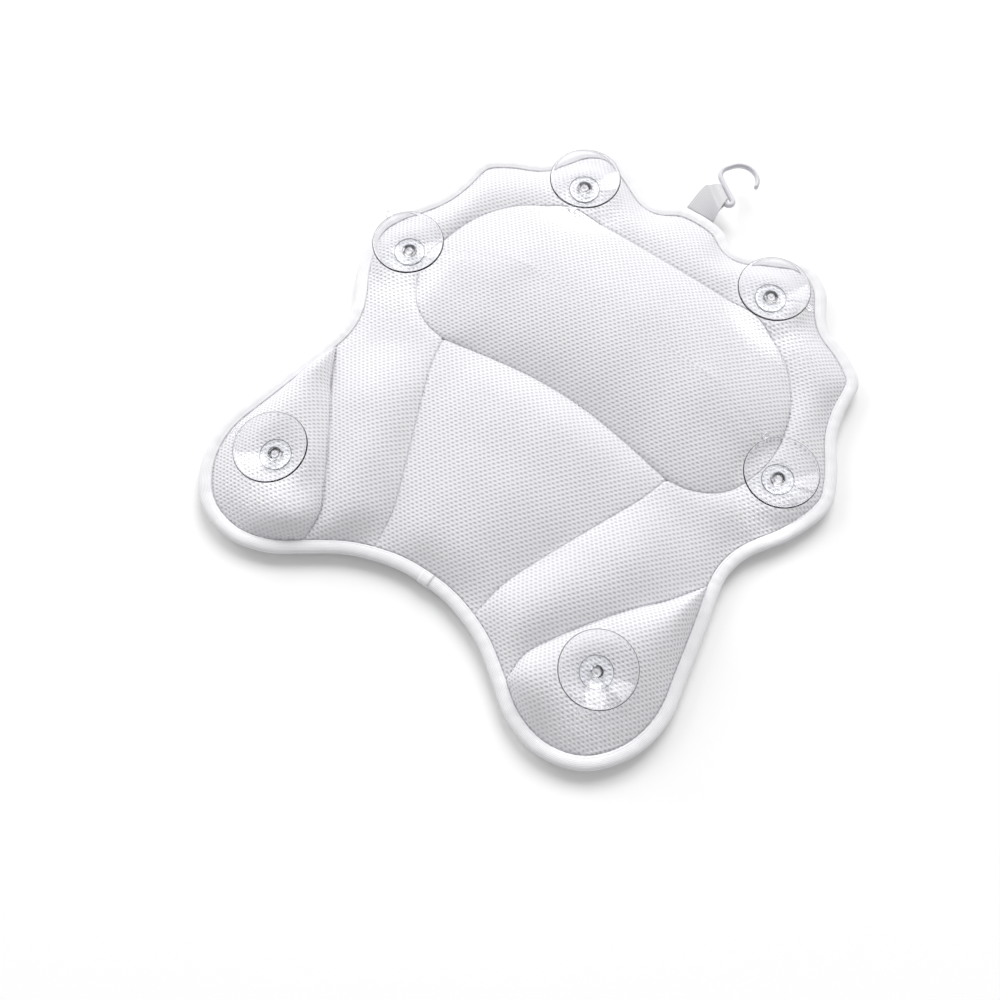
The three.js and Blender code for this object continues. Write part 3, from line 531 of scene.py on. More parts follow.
class Quilt:
    """Panels of one cover, gathered into a single mesh with its lay and its sewn points."""

    def __init__(self, plan, back):
        self.plan = plan
        self.back = back
        self.vertices = []
        self.faces = []
        self.lay = []
        self.sewn = []

    def add_panel(self, surface, columns, rows):
        """A grid of columns by rows over the panel's two shares. The border is sewn."""
        along, across = np.meshgrid(columns, rows, indexing="ij")
        place, full, rise = surface(along, across)
        grid = self.plan.heights(place, full, rise, self.back)
        border = np.zeros(along.shape, bool)
        border[[0, -1], :] = True
        border[:, [0, -1]] = True
        self.add_grid(grid, self.lay_flat(grid), border)

    def add_grid(self, grid, lay, border):
        known = {}
        index = np.empty(grid.shape[:2], int)
        for i, j in np.ndindex(*grid.shape[:2]):
            key = tuple(np.round(grid[i, j] * 1e5).astype(int))
            if key not in known:
                known[key] = len(self.vertices)
                self.vertices.append(grid[i, j])
                self.sewn.append(False)
            index[i, j] = known[key]
            self.sewn[known[key]] |= bool(border[i, j])
        middle = tuple(n // 2 for n in grid.shape[:2])
        step_a = grid[middle[0] + 1, middle[1]] - grid[middle]
        step_b = grid[middle[0], middle[1] + 1] - grid[middle]
        upwards = step_a[0] * step_b[1] - step_a[1] * step_b[0] > 0
        for i in range(grid.shape[0] - 1):
            for j in range(grid.shape[1] - 1):
                corners = [(i, j), (i + 1, j), (i + 1, j + 1), (i, j + 1)]
                if upwards != self.back:
                    corners.reverse()
                ring, flat = [], []
                for corner in corners:
                    if index[corner] not in ring:
                        ring.append(index[corner])
                        flat.append(lay[corner])
                if len(ring) > 2:
                    self.faces.append(ring)
                    self.lay += flat

    @staticmethod
    def lay_flat(grid, rounds=160):
        """The panel's plan, spread until its threads have their true lengths."""
        flat = grid[..., :2].copy()
        spans = (
            (np.s_[1:, :], np.s_[:-1, :]), (np.s_[:, 1:], np.s_[:, :-1]),
            (np.s_[1:, 1:], np.s_[:-1, :-1]), (np.s_[1:, :-1], np.s_[:-1, 1:]),
        )
        lengths = [np.linalg.norm(grid[a] - grid[b], axis=-1) for a, b in spans]
        now = [np.linalg.norm(flat[a] - flat[b], axis=-1) for a, b in spans[:2]]
        growth = sum(length.sum() for length in lengths[:2]) / sum(length.sum() for length in now)
        centre = flat.reshape(-1, 2).mean(axis=0)
        flat = centre + (flat - centre) * growth
        for _ in range(rounds):
            move = np.zeros_like(flat)
            for (a, b), length in zip(spans, lengths):
                gap = flat[a] - flat[b]
                here = np.maximum(np.linalg.norm(gap, axis=-1), 1e-7)
                fix = gap * ((length - here) / here * 0.5)[..., None]
                move[a] += fix
                move[b] -= fix
            flat += move * 0.22
        return flat

    def add_flange(self):
        """Flat margin of the cover under the tape."""
        size = self.plan.sizes
        rows = [self.plan.inset(depth * MM) for depth in MARGIN_DEPTHS]
        height = size.seam_half if self.back else -size.seam_half
        grid = np.stack([np.vstack([row, row[:1]]) for row in rows], axis=1)
        grid[..., 2] += height
        self.add_grid(grid, grid[..., :2], np.ones(grid.shape[:2], bool))

    def build(self, name):
        piece = link_mesh(name, self.vertices, self.faces)
        if len(piece.data.loops) != len(self.lay):
            raise RuntimeError(f"{name}: the lay has {len(self.lay)} corners, the mesh {len(piece.data.loops)}")
        add_lay(piece, self.lay)
        group = piece.vertex_groups.new(name="sewn")
        group.add([i for i, sewn in enumerate(self.sewn) if sewn], 1, "REPLACE")
        return piece


def even(count):
    return np.linspace(0, 1, count + 1)


def bunched(count):
    """Shares that lie closer together at both ends."""
    return (1 - np.cos(np.pi * even(count))) / 2


def half_bunched(count):
    t = even(count)
    return 0.5 * t + 0.5 * (1 - np.cos(np.pi * t)) / 2


def quilt_panels(plan, back):
    """Every panel of one cover at the wanted sample."""
    quilt = Quilt(plan, back)

    def count(span):
        """Samples along a span in millimetres."""
        return max(6, int(round(span * MM / plan.sizes.sample)))

    crown_side, leg_side, centre_side, bolster_width, bolster_depth, wing_length = (
        count(span) for span in (430, 175, 170, 330, 170, 230)
    )
    band_rows, wing_rows = 11, 13
    crown = np.concatenate([-even(crown_side)[:0:-1], even(crown_side)])
    leg = 1 + half_bunched(leg_side)[1:]
    quilt.add_panel(plan.band, np.concatenate([-leg[::-1], crown, leg]), half_bunched(band_rows))
    quilt.add_panel(plan.centre, half_bunched(centre_side), half_bunched(centre_side))
    quilt.add_panel(plan.bolster, even(bolster_width), half_bunched(2 * (bolster_depth // 2)))
    for side in (-1, 1):
        def wing(along, across, side=side):
            place, full, rise = plan.wing_panel(along, across)
            place[..., 0] *= side
            return place, full, rise
        quilt.add_panel(wing, half_bunched(wing_length), half_bunched(wing_rows))
    quilt.add_flange()
    return quilt


def unevenness(points, seed):
    """Slow hand-made waviness from -1 to 1, the same on each run."""
    rng = np.random.default_rng(seed)
    total = np.zeros(len(points))
    for wavelength, weight in ((0.11, 0.5), (0.06, 0.3), (0.034, 0.2)):
        for _ in range(3):
            angle, phase = rng.uniform(0, 2 * math.pi, 2)
            direction = np.array([math.cos(angle), math.sin(angle)])
            total += weight / 3 * np.sin(points[:, :2] @ direction * 2 * math.pi / wavelength + phase) * 1.7
    return total


def read_points(piece):
    flat = np.empty(len(piece.data.vertices) * 3, np.float32)
    piece.data.vertices.foreach_get("co", flat)
    return flat.reshape(-1, 3).astype(float)


def write_points(piece, points):
    piece.data.vertices.foreach_set("co", np.asarray(points, np.float32).ravel())
    piece.data.update()


def sewn_weights(piece):
    group = piece.vertex_groups["sewn"].index
    return np.array([
        max((g.weight for g in v.groups if g.group == group), default=0.0) for v in piece.data.vertices
    ])


def inflate(piece, pressure, limit, frames=20):
    """Blows the sewn cloth up a little with a cloth simulation, and keeps the result."""
    before = read_points(piece)
    modifier = piece.modifiers.new("cloth", "CLOTH")
    cloth = modifier.settings
    cloth.quality = 6
    cloth.mass = 0.25
    cloth.tension_stiffness = 18
    cloth.compression_stiffness = 18
    cloth.shear_stiffness = 8
    cloth.bending_stiffness = 8
    cloth.air_damping = 3
    cloth.use_pressure = True
    cloth.uniform_pressure_force = pressure
    cloth.effector_weights.gravity = 0
    cloth.vertex_group_mass = "sewn"
    modifier.collision_settings.use_collision = False
    modifier.collision_settings.use_self_collision = False
    scene = bpy.context.scene
    for number in range(1, frames + 1):
        scene.frame_set(number)
    depsgraph = bpy.context.evaluated_depsgraph_get()
    mesh = piece.evaluated_get(depsgraph).to_mesh()
    after = np.array([v.co for v in mesh.vertices], float)
    piece.evaluated_get(depsgraph).to_mesh_clear()
    piece.modifiers.clear()
    scene.frame_set(1)
    move = after - before
    if not np.isfinite(move).all():
        raise RuntimeError(f"{piece.name}: the cloth simulation didn't hold")
    length = np.linalg.norm(move, axis=1)
    move *= (np.minimum(length, limit) / np.maximum(length, 1e-9))[:, None]
    write_points(piece, before + move)


def cup_seats():
    """Seat and axis of each cup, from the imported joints."""
    seats = {}
    for name in CUPS:
        joint = joints.get(f"{name}_cup_spin")
        if joint is None:
            raise RuntimeError(f"the packed part has no joint for the {name} cup")
        seats[name] = (Vector(joint["pos_m"]), Vector(joint["axis"]).normalized())
    return seats


def press_under_cups(points, washer_radius):
    """Lays the cover flat under each washer, on a low hill that eases off round it."""
    reach, depth, gap = 40 * MM, 25 * MM, 0.25 * MM
    flat_end, hill_end = washer_radius + 0.6 * MM, washer_radius + 22 * MM
    for seat, axis in cup_seats().values():
        seat, axis = np.array(seat), np.array(axis)
        offset = points - seat
        height = offset @ axis
        radius = np.linalg.norm(offset - height[:, None] * axis, axis=1)
        near = (radius < reach) & (np.abs(height) < depth)
        hold = np.where(near, 1 - eased(radius, flat_end, hill_end), 0)
        points = points - (hold * (height + gap))[:, None] * axis
    return points


def subdivide(piece):
    subdivision = piece.modifiers.new("subdivision", "SUBSURF")
    subdivision.levels = subdivision.render_levels = 1
    subdivision.uv_smooth = "NONE"
    apply_modifiers(piece)


def thicken(piece, thickness):
    shell = piece.modifiers.new("shell", "SOLIDIFY")
    shell.thickness = thickness
    shell.offset = -1
    apply_modifiers(piece)


# Materials


class Tree:
    """Short ways to place and join shader nodes."""

    def __init__(self, tree):
        self.tree = tree

    def add(self, kind, **settings):
        node = self.tree.nodes.new(kind)
        for name, value in settings.items():
            setattr(node, name, value)
        return node

    def join(self, source, target):
        if isinstance(source, (int, float)):
            target.default_value = source
        elif isinstance(source, (tuple, list)):
            target.default_value = source
        else:
            self.tree.links.new(source, target)

    def maths(self, operation, *values, clamp=False):
        node = self.add("ShaderNodeMath", operation=operation, use_clamp=clamp)
        for value, socket in zip(values, node.inputs):
            self.join(value, socket)
        return node.outputs[0]

    def vector(self, operation, *values):
        node = self.add("ShaderNodeVectorMath", operation=operation)
        for value, socket in zip(values, node.inputs):
            self.join(value, socket)
        return node.outputs["Value" if operation in ("LENGTH", "DISTANCE") else "Vector"]

    def mix_colour(self, factor, a, b):
        node = self.add("ShaderNodeMix", data_type="RGBA")
        self.join(factor, node.inputs["Factor"])
        self.join(a, node.inputs[6])
        self.join(b, node.inputs[7])
        return node.outputs[2]

    def noise(self, place, scale, detail=2.0, distortion=0.0, flat=False):
        """Noise read at a place, which costs less where the place is flat."""
        node = self.add("ShaderNodeTexNoise", noise_dimensions="2D" if flat else "3D")
        self.join(place, node.inputs["Vector"])
        for label, value in (("Scale", scale), ("Detail", detail), ("Distortion", distortion)):
            node.inputs[label].default_value = value
        return node.outputs

    def around_middle(self, value, spread):
        """A value from 0 to 1, moved and scaled to run from minus half the spread to half of it."""
        return self.maths("MULTIPLY", self.maths("SUBTRACT", value, 0.5), spread)

    def ranged(self, value, low, high, to_low=0.0, to_high=1.0):
        node = self.add("ShaderNodeMapRange", interpolation_type="SMOOTHSTEP")
        self.join(value, node.inputs["Value"])
        for name, number in (
            ("From Min", low), ("From Max", high), ("To Min", to_low), ("To Max", to_high),
        ):
            self.join(number, node.inputs[name])
        return node.outputs["Result"]


def new_group(name, inputs, outputs):
    """An empty shader group with its sockets, or None if it is already there."""
    if name in bpy.data.node_groups:
        return None, None, None
    tree = bpy.data.node_groups.new(name, "ShaderNodeTree")
    for label, kind, default in inputs:
        socket = tree.interface.new_socket(label, in_out="INPUT", socket_type=kind)
        if default is not None:
            socket.default_value = default
    for label, kind in outputs:
        tree.interface.new_socket(label, in_out="OUTPUT", socket_type=kind)
    nodes = Tree(tree)
    return nodes, nodes.add("NodeGroupInput").outputs, nodes.add("NodeGroupOutput").inputs


def air_mesh_group():
    """Staggered oval holes between knitted threads, the holes darkened with painted shade."""
    name = "Air Mesh"
    nodes, given, result = new_group(
        name,
        [
            ("Lay", "NodeSocketVector", None), ("Wale", "NodeSocketFloat", 4.15 * MM),
            ("Course", "NodeSocketFloat", 5.1 * MM), ("Hole", "NodeSocketFloat", 1 * MM),
            ("Thread Colour", "NodeSocketColor", (0.9, 0.9, 0.9, 1)),
            ("Hole Colour", "NodeSocketColor", (0.4, 0.4, 0.4, 1)),
        ],
        [("Colour", "NodeSocketColor"), ("Height", "NodeSocketFloat"), ("Holes", "NodeSocketFloat")],
    )
    if nodes is None:
        return bpy.data.node_groups[name]
    wobble = nodes.noise(given["Lay"], 160, flat=True)
    shift = nodes.vector("SUBTRACT", wobble["Color"], (0.5, 0.5, 0.5))
    shift = nodes.vector("MULTIPLY", shift, (0.9 * MM, 0.9 * MM, 0))
    place = nodes.vector("ADD", given["Lay"], shift)
    cell = nodes.add("ShaderNodeCombineXYZ")
    nodes.join(given["Wale"], cell.inputs["X"])
    nodes.join(given["Course"], cell.inputs["Y"])
    cell.inputs["Z"].default_value = 1
    counted = nodes.vector("DIVIDE", place, cell.outputs[0])
    distances = []
    for offset in (0.0, 0.5):
        moved = nodes.vector("ADD", counted, (offset, offset, 0.0))
        wrapped = nodes.vector("WRAP", moved, (0.5, 0.5, 0.5), (-0.5, -0.5, -0.5))
        flat = nodes.vector("MULTIPLY", wrapped, (0.72, 1.0, 0.0))
        distances.append(nodes.vector("LENGTH", nodes.vector("MULTIPLY", flat, cell.outputs[0])))
    nearest = nodes.maths("MINIMUM", *distances)
    inner = nodes.maths("MULTIPLY", given["Hole"], 0.45)
    outer = nodes.maths("MULTIPLY", given["Hole"], 1.55)
    holes = nodes.maths("SUBTRACT", 1.0, nodes.ranged(nearest, inner, outer))
    yarn = nodes.noise(given["Lay"], 1400, detail=3, flat=True)["Fac"]
    cloudy = nodes.noise(given["Lay"], 22, flat=True)["Fac"]
    tone = nodes.maths("ADD", nodes.around_middle(cloudy, 0.05), nodes.around_middle(yarn, 0.1))
    bright = nodes.add("ShaderNodeBrightContrast")
    nodes.join(given["Thread Colour"], bright.inputs["Color"])
    nodes.join(tone, bright.inputs["Bright"])
    # Down the holes: the padding's tone, darkened with painted shade
    colour = nodes.mix_colour(holes, bright.outputs["Color"], given["Hole Colour"])
    height = nodes.maths("SUBTRACT", 1.0, holes)
    height = nodes.maths("ADD", height, nodes.maths("MULTIPLY", yarn, 0.25))
    nodes.join(colour, result["Colour"])
    nodes.join(height, result["Height"])
    nodes.join(holes, result["Holes"])
    return nodes.tree


def woven_rib_group():
    """Ribs of a woven tape: fine cords along it with threads across."""
    name = "Woven Rib"
    nodes, given, result = new_group(
        name,
        [
            ("Lay", "NodeSocketVector", None), ("Rib", "NodeSocketFloat", 0.9 * MM),
            ("Pick", "NodeSocketFloat", 0.6 * MM), ("Colour", "NodeSocketColor", (0.9, 0.9, 0.9, 1)),
            ("Shade Colour", "NodeSocketColor", (0.6, 0.6, 0.63, 1)),
        ],
        [("Colour", "NodeSocketColor"), ("Height", "NodeSocketFloat")],
    )
    if nodes is None:
        return bpy.data.node_groups[name]
    parts = nodes.add("ShaderNodeSeparateXYZ")
    nodes.join(given["Lay"], parts.inputs[0])
    full_turn = 2 * math.pi

    def wave(value, pitch, phase=None):
        turns = nodes.maths("MULTIPLY", nodes.maths("DIVIDE", value, pitch), full_turn)
        if phase is not None:
            turns = nodes.maths("ADD", turns, phase)
        return nodes.maths("ADD", nodes.maths("MULTIPLY", nodes.maths("SINE", turns), 0.5), 0.5)

    rib = wave(parts.outputs["Y"], given["Rib"])
    half_turn = nodes.maths("MULTIPLY", nodes.maths("GREATER_THAN", rib, 0.5), math.pi)
    pick = wave(parts.outputs["X"], given["Pick"], half_turn)
    height = nodes.maths("ADD", nodes.maths("MULTIPLY", rib, 0.65), nodes.maths("MULTIPLY", pick, 0.35))
    fuzz = nodes.noise(given["Lay"], 900, flat=True)["Fac"]
    height = nodes.maths("ADD", height, nodes.maths("MULTIPLY", fuzz, 0.3))
    light = nodes.ranged(height, 0.1, 0.9)
    nodes.join(nodes.mix_colour(light, given["Shade Colour"], given["Colour"]), result["Colour"])
    nodes.join(height, result["Height"])
    return nodes.tree


def moulded_surface_group():
    """Faint smudges and flow marks on moulded plastic."""
    name = "Moulded Surface"
    nodes, given, result = new_group(
        name,
        [
            ("Vector", "NodeSocketVector", None), ("Low", "NodeSocketFloat", 0.05),
            ("High", "NodeSocketFloat", 0.15),
        ],
        [("Roughness", "NodeSocketFloat"), ("Height", "NodeSocketFloat")],
    )
    if nodes is None:
        return bpy.data.node_groups[name]
    smudge = nodes.noise(given["Vector"], 120, detail=4)["Fac"]
    flow = nodes.noise(given["Vector"], 45, distortion=1.5)["Fac"]
    nodes.join(nodes.ranged(smudge, 0.35, 0.7, given["Low"], given["High"]), result["Roughness"])
    nodes.join(flow, result["Height"])
    return nodes.tree


def new_material(name):
    material = bpy.data.materials.new(name)
    material.use_nodes = True
    nodes = Tree(material.node_tree)
    shader = material.node_tree.nodes["Principled BSDF"]
    return material, nodes, shader


def place_group(nodes, tree, **values):
    node = nodes.add("ShaderNodeGroup", node_tree=tree)
    for label, value in values.items():
        nodes.join(value, node.inputs[label.replace("_", " ")])
    return node.outputs


def darker(colour, share):
    return tuple(share * part for part in colour[:3]) + (1,)


def add_bump(nodes, shader, height, strength, distance):
    bump = nodes.add("ShaderNodeBump")
    bump.inputs["Strength"].default_value = strength
    bump.inputs["Distance"].default_value = distance
    nodes.join(height, bump.inputs["Height"])
    nodes.join(bump.outputs[0], shader.inputs["Normal"])


def lay_vector(nodes):
    return nodes.add("ShaderNodeUVMap", uv_map="lay").outputs[0]


def air_mesh_material(name, sizes):
    material, nodes, shader = new_material(name)
    mesh = place_group(
        nodes, air_mesh_group(), Lay=lay_vector(nodes), Wale=sizes.wale, Course=sizes.course,
        Hole=sizes.hole_radius,
        Thread_Colour=tuple(sizes.thread_colour), Hole_Colour=tuple(sizes.hole_shade_colour),
    )
    nodes.join(mesh["Colour"], shader.inputs["Base Color"])
    nodes.join(nodes.ranged(mesh["Holes"], 0, 1, 0.78, 0.95), shader.inputs["Roughness"])
    shader.inputs["Sheen Weight"].default_value = 0.25
    shader.inputs["Sheen Roughness"].default_value = 0.5
    shader.inputs["Specular IOR Level"].default_value = 0.25
    add_bump(nodes, shader, mesh["Height"], 0.8, 0.6 * MM)
    return material


def woven_material(name, colour, rib, pick, strength=0.6):
    material, nodes, shader = new_material(name)
    weave = place_group(
        nodes, woven_rib_group(), Lay=lay_vector(nodes), Rib=rib, Pick=pick,
        Colour=tuple(colour), Shade_Colour=darker(colour, 0.82),
    )
    nodes.join(weave["Colour"], shader.inputs["Base Color"])
    shader.inputs["Roughness"].default_value = 0.7
    shader.inputs["Sheen Weight"].default_value = 0.3
    shader.inputs["Specular IOR Level"].default_value = 0.3
    add_bump(nodes, shader, weave["Height"], strength, 0.25 * MM)
    return material


def object_vector(nodes):
    return nodes.add("ShaderNodeTexCoord").outputs["Object"]


def thread_material(colour):
    material, nodes, shader = new_material("sewing_thread")
    twist = nodes.add("ShaderNodeTexWave", bands_direction="DIAGONAL")
    nodes.join(object_vector(nodes), twist.inputs["Vector"])
    twist.inputs["Scale"].default_value = 900
    # Painted shade: the twist's grooves are drawn darker than the thread's own colour
    tone = nodes.mix_colour(twist.outputs["Fac"], darker(colour, 0.85), tuple(colour))
    nodes.join(tone, shader.inputs["Base Color"])
    shader.inputs["Roughness"].default_value = 0.55
    shader.inputs["Sheen Weight"].default_value = 0.2
    add_bump(nodes, shader, twist.outputs["Fac"], 0.3, 0.1 * MM)
    return material


def clear_vinyl_material(name, colour):
    """Clear soft vinyl. Its shadow stays light, as real vinyl's does."""
    material, nodes, shader = new_material(name)
    surface = place_group(nodes, moulded_surface_group(), Vector=object_vector(nodes), Low=0.0, High=0.015)
    nodes.join(surface["Roughness"], shader.inputs["Roughness"])
    shader.inputs["Base Color"].default_value = tuple(colour)
    shader.inputs["Transmission Weight"].default_value = 1
    shader.inputs["IOR"].default_value = 1.4
    shadow_ray = nodes.add("ShaderNodeLightPath").outputs["Is Shadow Ray"]
    let_through = nodes.maths("MULTIPLY", shadow_ray, 0.93)
    nodes.join(nodes.maths("SUBTRACT", 1.0, let_through), shader.inputs["Alpha"])
    add_bump(nodes, shader, surface["Height"], 0.04, 0.3 * MM)
    return material


def white_plastic_material(colour):
    material, nodes, shader = new_material("white_plastic")
    surface = place_group(nodes, moulded_surface_group(), Vector=object_vector(nodes), Low=0.3, High=0.42)
    nodes.join(surface["Roughness"], shader.inputs["Roughness"])
    tint = nodes.ranged(surface["Height"], 0.3, 0.7)
    nodes.join(nodes.mix_colour(tint, darker(colour, 0.95), tuple(colour)), shader.inputs["Base Color"])
    shader.inputs["Subsurface Weight"].default_value = 0.1
    shader.inputs["Subsurface Scale"].default_value = 2 * MM
    add_bump(nodes, shader, surface["Height"], 0.1, 0.2 * MM)
    return material


def paint(piece, material):
    piece.data.materials.clear()
    piece.data.materials.append(material)


# Pieces


def the_plan(context):
    return Plan(context.scene.bath_pillow_quilt)


class BATHPILLOW_OT_back_quilt(bpy.types.Operator):
    """Builds the back cover with its padded channels"""

    bl_idname = "bath_pillow.back_quilt"
    bl_label = "Back Quilt"

    def execute(self, context):
        sizes = context.scene.bath_pillow_quilt
        piece = quilt_panels(the_plan(context), back=True).build("back_quilt")
        points = read_points(piece)
        loose = 1 - sewn_weights(piece)
        points[:, 2] += unevenness(points, 7) * 0.9 * MM * loose
        write_points(piece, points)
        inflate(piece, pressure=4, limit=0.8 * MM)
        subdivide(piece)
        washer = context.scene.bath_pillow_cups.washer_radius
        write_points(piece, press_under_cups(read_points(piece), washer))
        thicken(piece, sizes.cloth_thickness)
        paint(piece, air_mesh_material("back_air_mesh", sizes))
        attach(piece, "pillow")
        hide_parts("back_cover", *FILLINGS)
        return {"FINISHED"}


class BATHPILLOW_OT_front_quilt(bpy.types.Operator):
    """Builds the front cover, pressed flat where the pillow lies on it"""

    bl_idname = "bath_pillow.front_quilt"
    bl_label = "Front Quilt"

    def execute(self, context):
        sizes = context.scene.bath_pillow_quilt
        piece = quilt_panels(the_plan(context), back=False).build("front_quilt")
        subdivide(piece)
        points = read_points(piece)
        points[:, 2] = np.maximum(points[:, 2], 0)
        write_points(piece, points)
        thicken(piece, sizes.cloth_thickness)
        paint(piece, air_mesh_material("front_air_mesh", sizes))
        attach(piece, "pillow")
        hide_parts("front_cover")
        return {"FINISHED"}


def tape_section(depth, thickness, seam_half):
    """Half-round fold of tape in depth and height, outside first and then back along the inside."""
    inside = seam_half + 0.25 * MM
    outside = inside + thickness
    upper = [
        (depth, outside - 0.75 * thickness), (depth - 0.5 * MM, outside - 0.4 * thickness),
        (depth - 1.1 * MM, outside - 0.2 * thickness), (depth - 1.5 * MM, outside - 0.35 * MM),
        (depth - 2 * MM, outside - 0.1 * MM), (depth * 0.66, outside + 0.2 * MM),
        (depth * 0.45, outside + 0.15 * MM), (depth * 0.22, outside - 0.3 * MM),
        (0.5 * MM, outside - 1.3 * MM), (0, outside - 2.4 * MM),
    ]
    outer = upper + [(d, -h) for d, h in upper[::-1]]
    lining = [
        (depth, inside), (depth * 0.5, inside), (1.6 * MM, inside - 0.3 * MM), (thickness + 0.1 * MM, 0),
    ]
    return outer + [(d, -h) for d, h in lining[:3]] + lining[::-1]


class BATHPILLOW_OT_edge_binding(bpy.types.Operator):
    """Builds the tape folded round the edge, with its lapped end and its stitches"""

    bl_idname = "bath_pillow.edge_binding"
    bl_label = "Edge Binding"

    def execute(self, context):
        sizes = context.scene.bath_pillow_binding
        quilt = context.scene.bath_pillow_quilt
        plan = the_plan(context)
        material = woven_material("binding_tape", sizes.colour, 1.1 * MM, 0.8 * MM)
        thread = thread_material(sizes.colour)
        section = tape_section(sizes.depth, sizes.thickness, quilt.seam_half)
        piece = self.tape(plan, "binding_tape", section, slice(None), 0, True)
        middle, reach, swell = len(plan.edge) // 2, 3, 0.55 * MM
        stretch = slice(middle - reach, middle + reach + 1)
        lap = self.tape(plan, "binding_lap", section, stretch, swell, False)
        for part in (piece, lap):
            paint(part, material)
            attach(part, "pillow")
        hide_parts("edge_binding")
        for stitches in (self.stitches(plan, sizes, quilt), self.seam_stitches(plan, sizes, quilt)):
            paint(stitches, thread)
            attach(stitches, "pillow")
        return {"FINISHED"}

    @staticmethod
    def tape(plan, name, section, stretch, swell, closed):
        """The section led round the edge, or along a stretch of it, with a slight ruffle."""
        steps = np.linalg.norm(np.diff(np.vstack([plan.edge, plan.edge[:1]]), axis=0), axis=1)
        reach = np.concatenate([[0], np.cumsum(steps)[:-1]])
        turns = np.arange(len(plan.edge)) / len(plan.edge) * 2 * math.pi
        ruffle = sum(
            high * MM * np.sin(turns * waves + start) for high, waves, start in ((0.22, 141, 0), (0.16, 87, 1))
        )
        rings, lay = [], []
        across = 0
        previous = section[-1]
        for depth, height in section:
            across += math.hypot(depth - previous[0], height - previous[1])
            grown = swell if abs(height) > 1 * MM else 0
            loop = plan.inset(max(depth - (swell if depth < 1 * MM else 0), -1))
            loop[:, 2] += height + math.copysign(grown, height)
            loop[:, 2] += ruffle * (0.5 if height > 0 else 0.2) * (1 if depth > 2 * MM else 0)
            rings.append(loop)
            lay.append(np.column_stack([reach, np.full(len(reach), across)]))
            previous = (depth, height)
        rings = np.stack(rings, axis=1)[stretch]
        lay = np.stack(lay, axis=1)[stretch]
        return sweep(name, rings, closed=closed, lay=lay)

    @staticmethod
    def stitches(plan, sizes, quilt):
        """One dash of thread per stitch along the tape's inner edge."""
        line = plan.inset(sizes.depth - 1.5 * MM)
        line[:, 2] += quilt.seam_half + sizes.thickness - 0.05 * MM
        return stitch_dashes("binding_stitches", [np.vstack([line, line[:1]])], sizes)

    @staticmethod
    def seam_stitches(plan, sizes, quilt):
        """Thread along the bottom of each quilting seam."""
        lines = [
            line.points * [side, 1, 1] for line in (plan.crease, plan.inner, plan.outer) for side in (1, -1)
        ]
        lines.append(plan.foot.points)
        lift = np.array([0, 0, quilt.seam_half + 0.1 * MM])
        return stitch_dashes("seam_stitches", [points + lift for points in lines], sizes)


def stitch_dashes(name, lines, sizes):
    """A thread for each stitch along each line."""
    shown = 0.72
    vertices, faces = [], []
    for path in map(Line, lines):
        count = int(path.reach[-1] / sizes.stitch)
        for number in range(count):
            stops = (number + shown * np.array(STITCH_STOPS)) / count
            ring_points, ring_faces = stitch_thread(path.at(stops), sizes.thread)
            faces += [tuple(len(vertices) + i for i in face) for face in ring_faces]
            vertices += ring_points
    return link_mesh(name, vertices, faces)


def stitch_thread(line, thread, sides=6):
    """A short rounded thread that dips into the cloth at its ends."""
    along = line[-1] - line[0]
    along /= np.linalg.norm(along)
    aside = np.cross(along, (0, 0, 1))
    aside /= np.linalg.norm(aside)
    up = np.cross(aside, along)
    rings = []
    for stop, centre in zip(STITCH_STOPS, line):
        swell = math.sin(math.pi * (0.08 + 0.84 * stop)) ** 0.5
        lift = -thread * (1 - swell) * 0.9
        rings.append([
            centre + up * lift + (aside * math.cos(a) + up * math.sin(a) * 0.7) * thread / 2 * swell
            for a in np.linspace(0, 2 * math.pi, sides, endpoint=False)
        ])
    faces = []
    for i in range(len(rings) - 1):
        for k in range(sides):
            a, b = i * sides + k, i * sides + (k + 1) % sides
            faces.append((a, b, b + sides, a + sides))
    count = len(rings) * sides
    faces += [tuple(range(sides - 1, -1, -1)), tuple(range(count - sides, count))]
    return [point for ring in rings for point in ring], faces


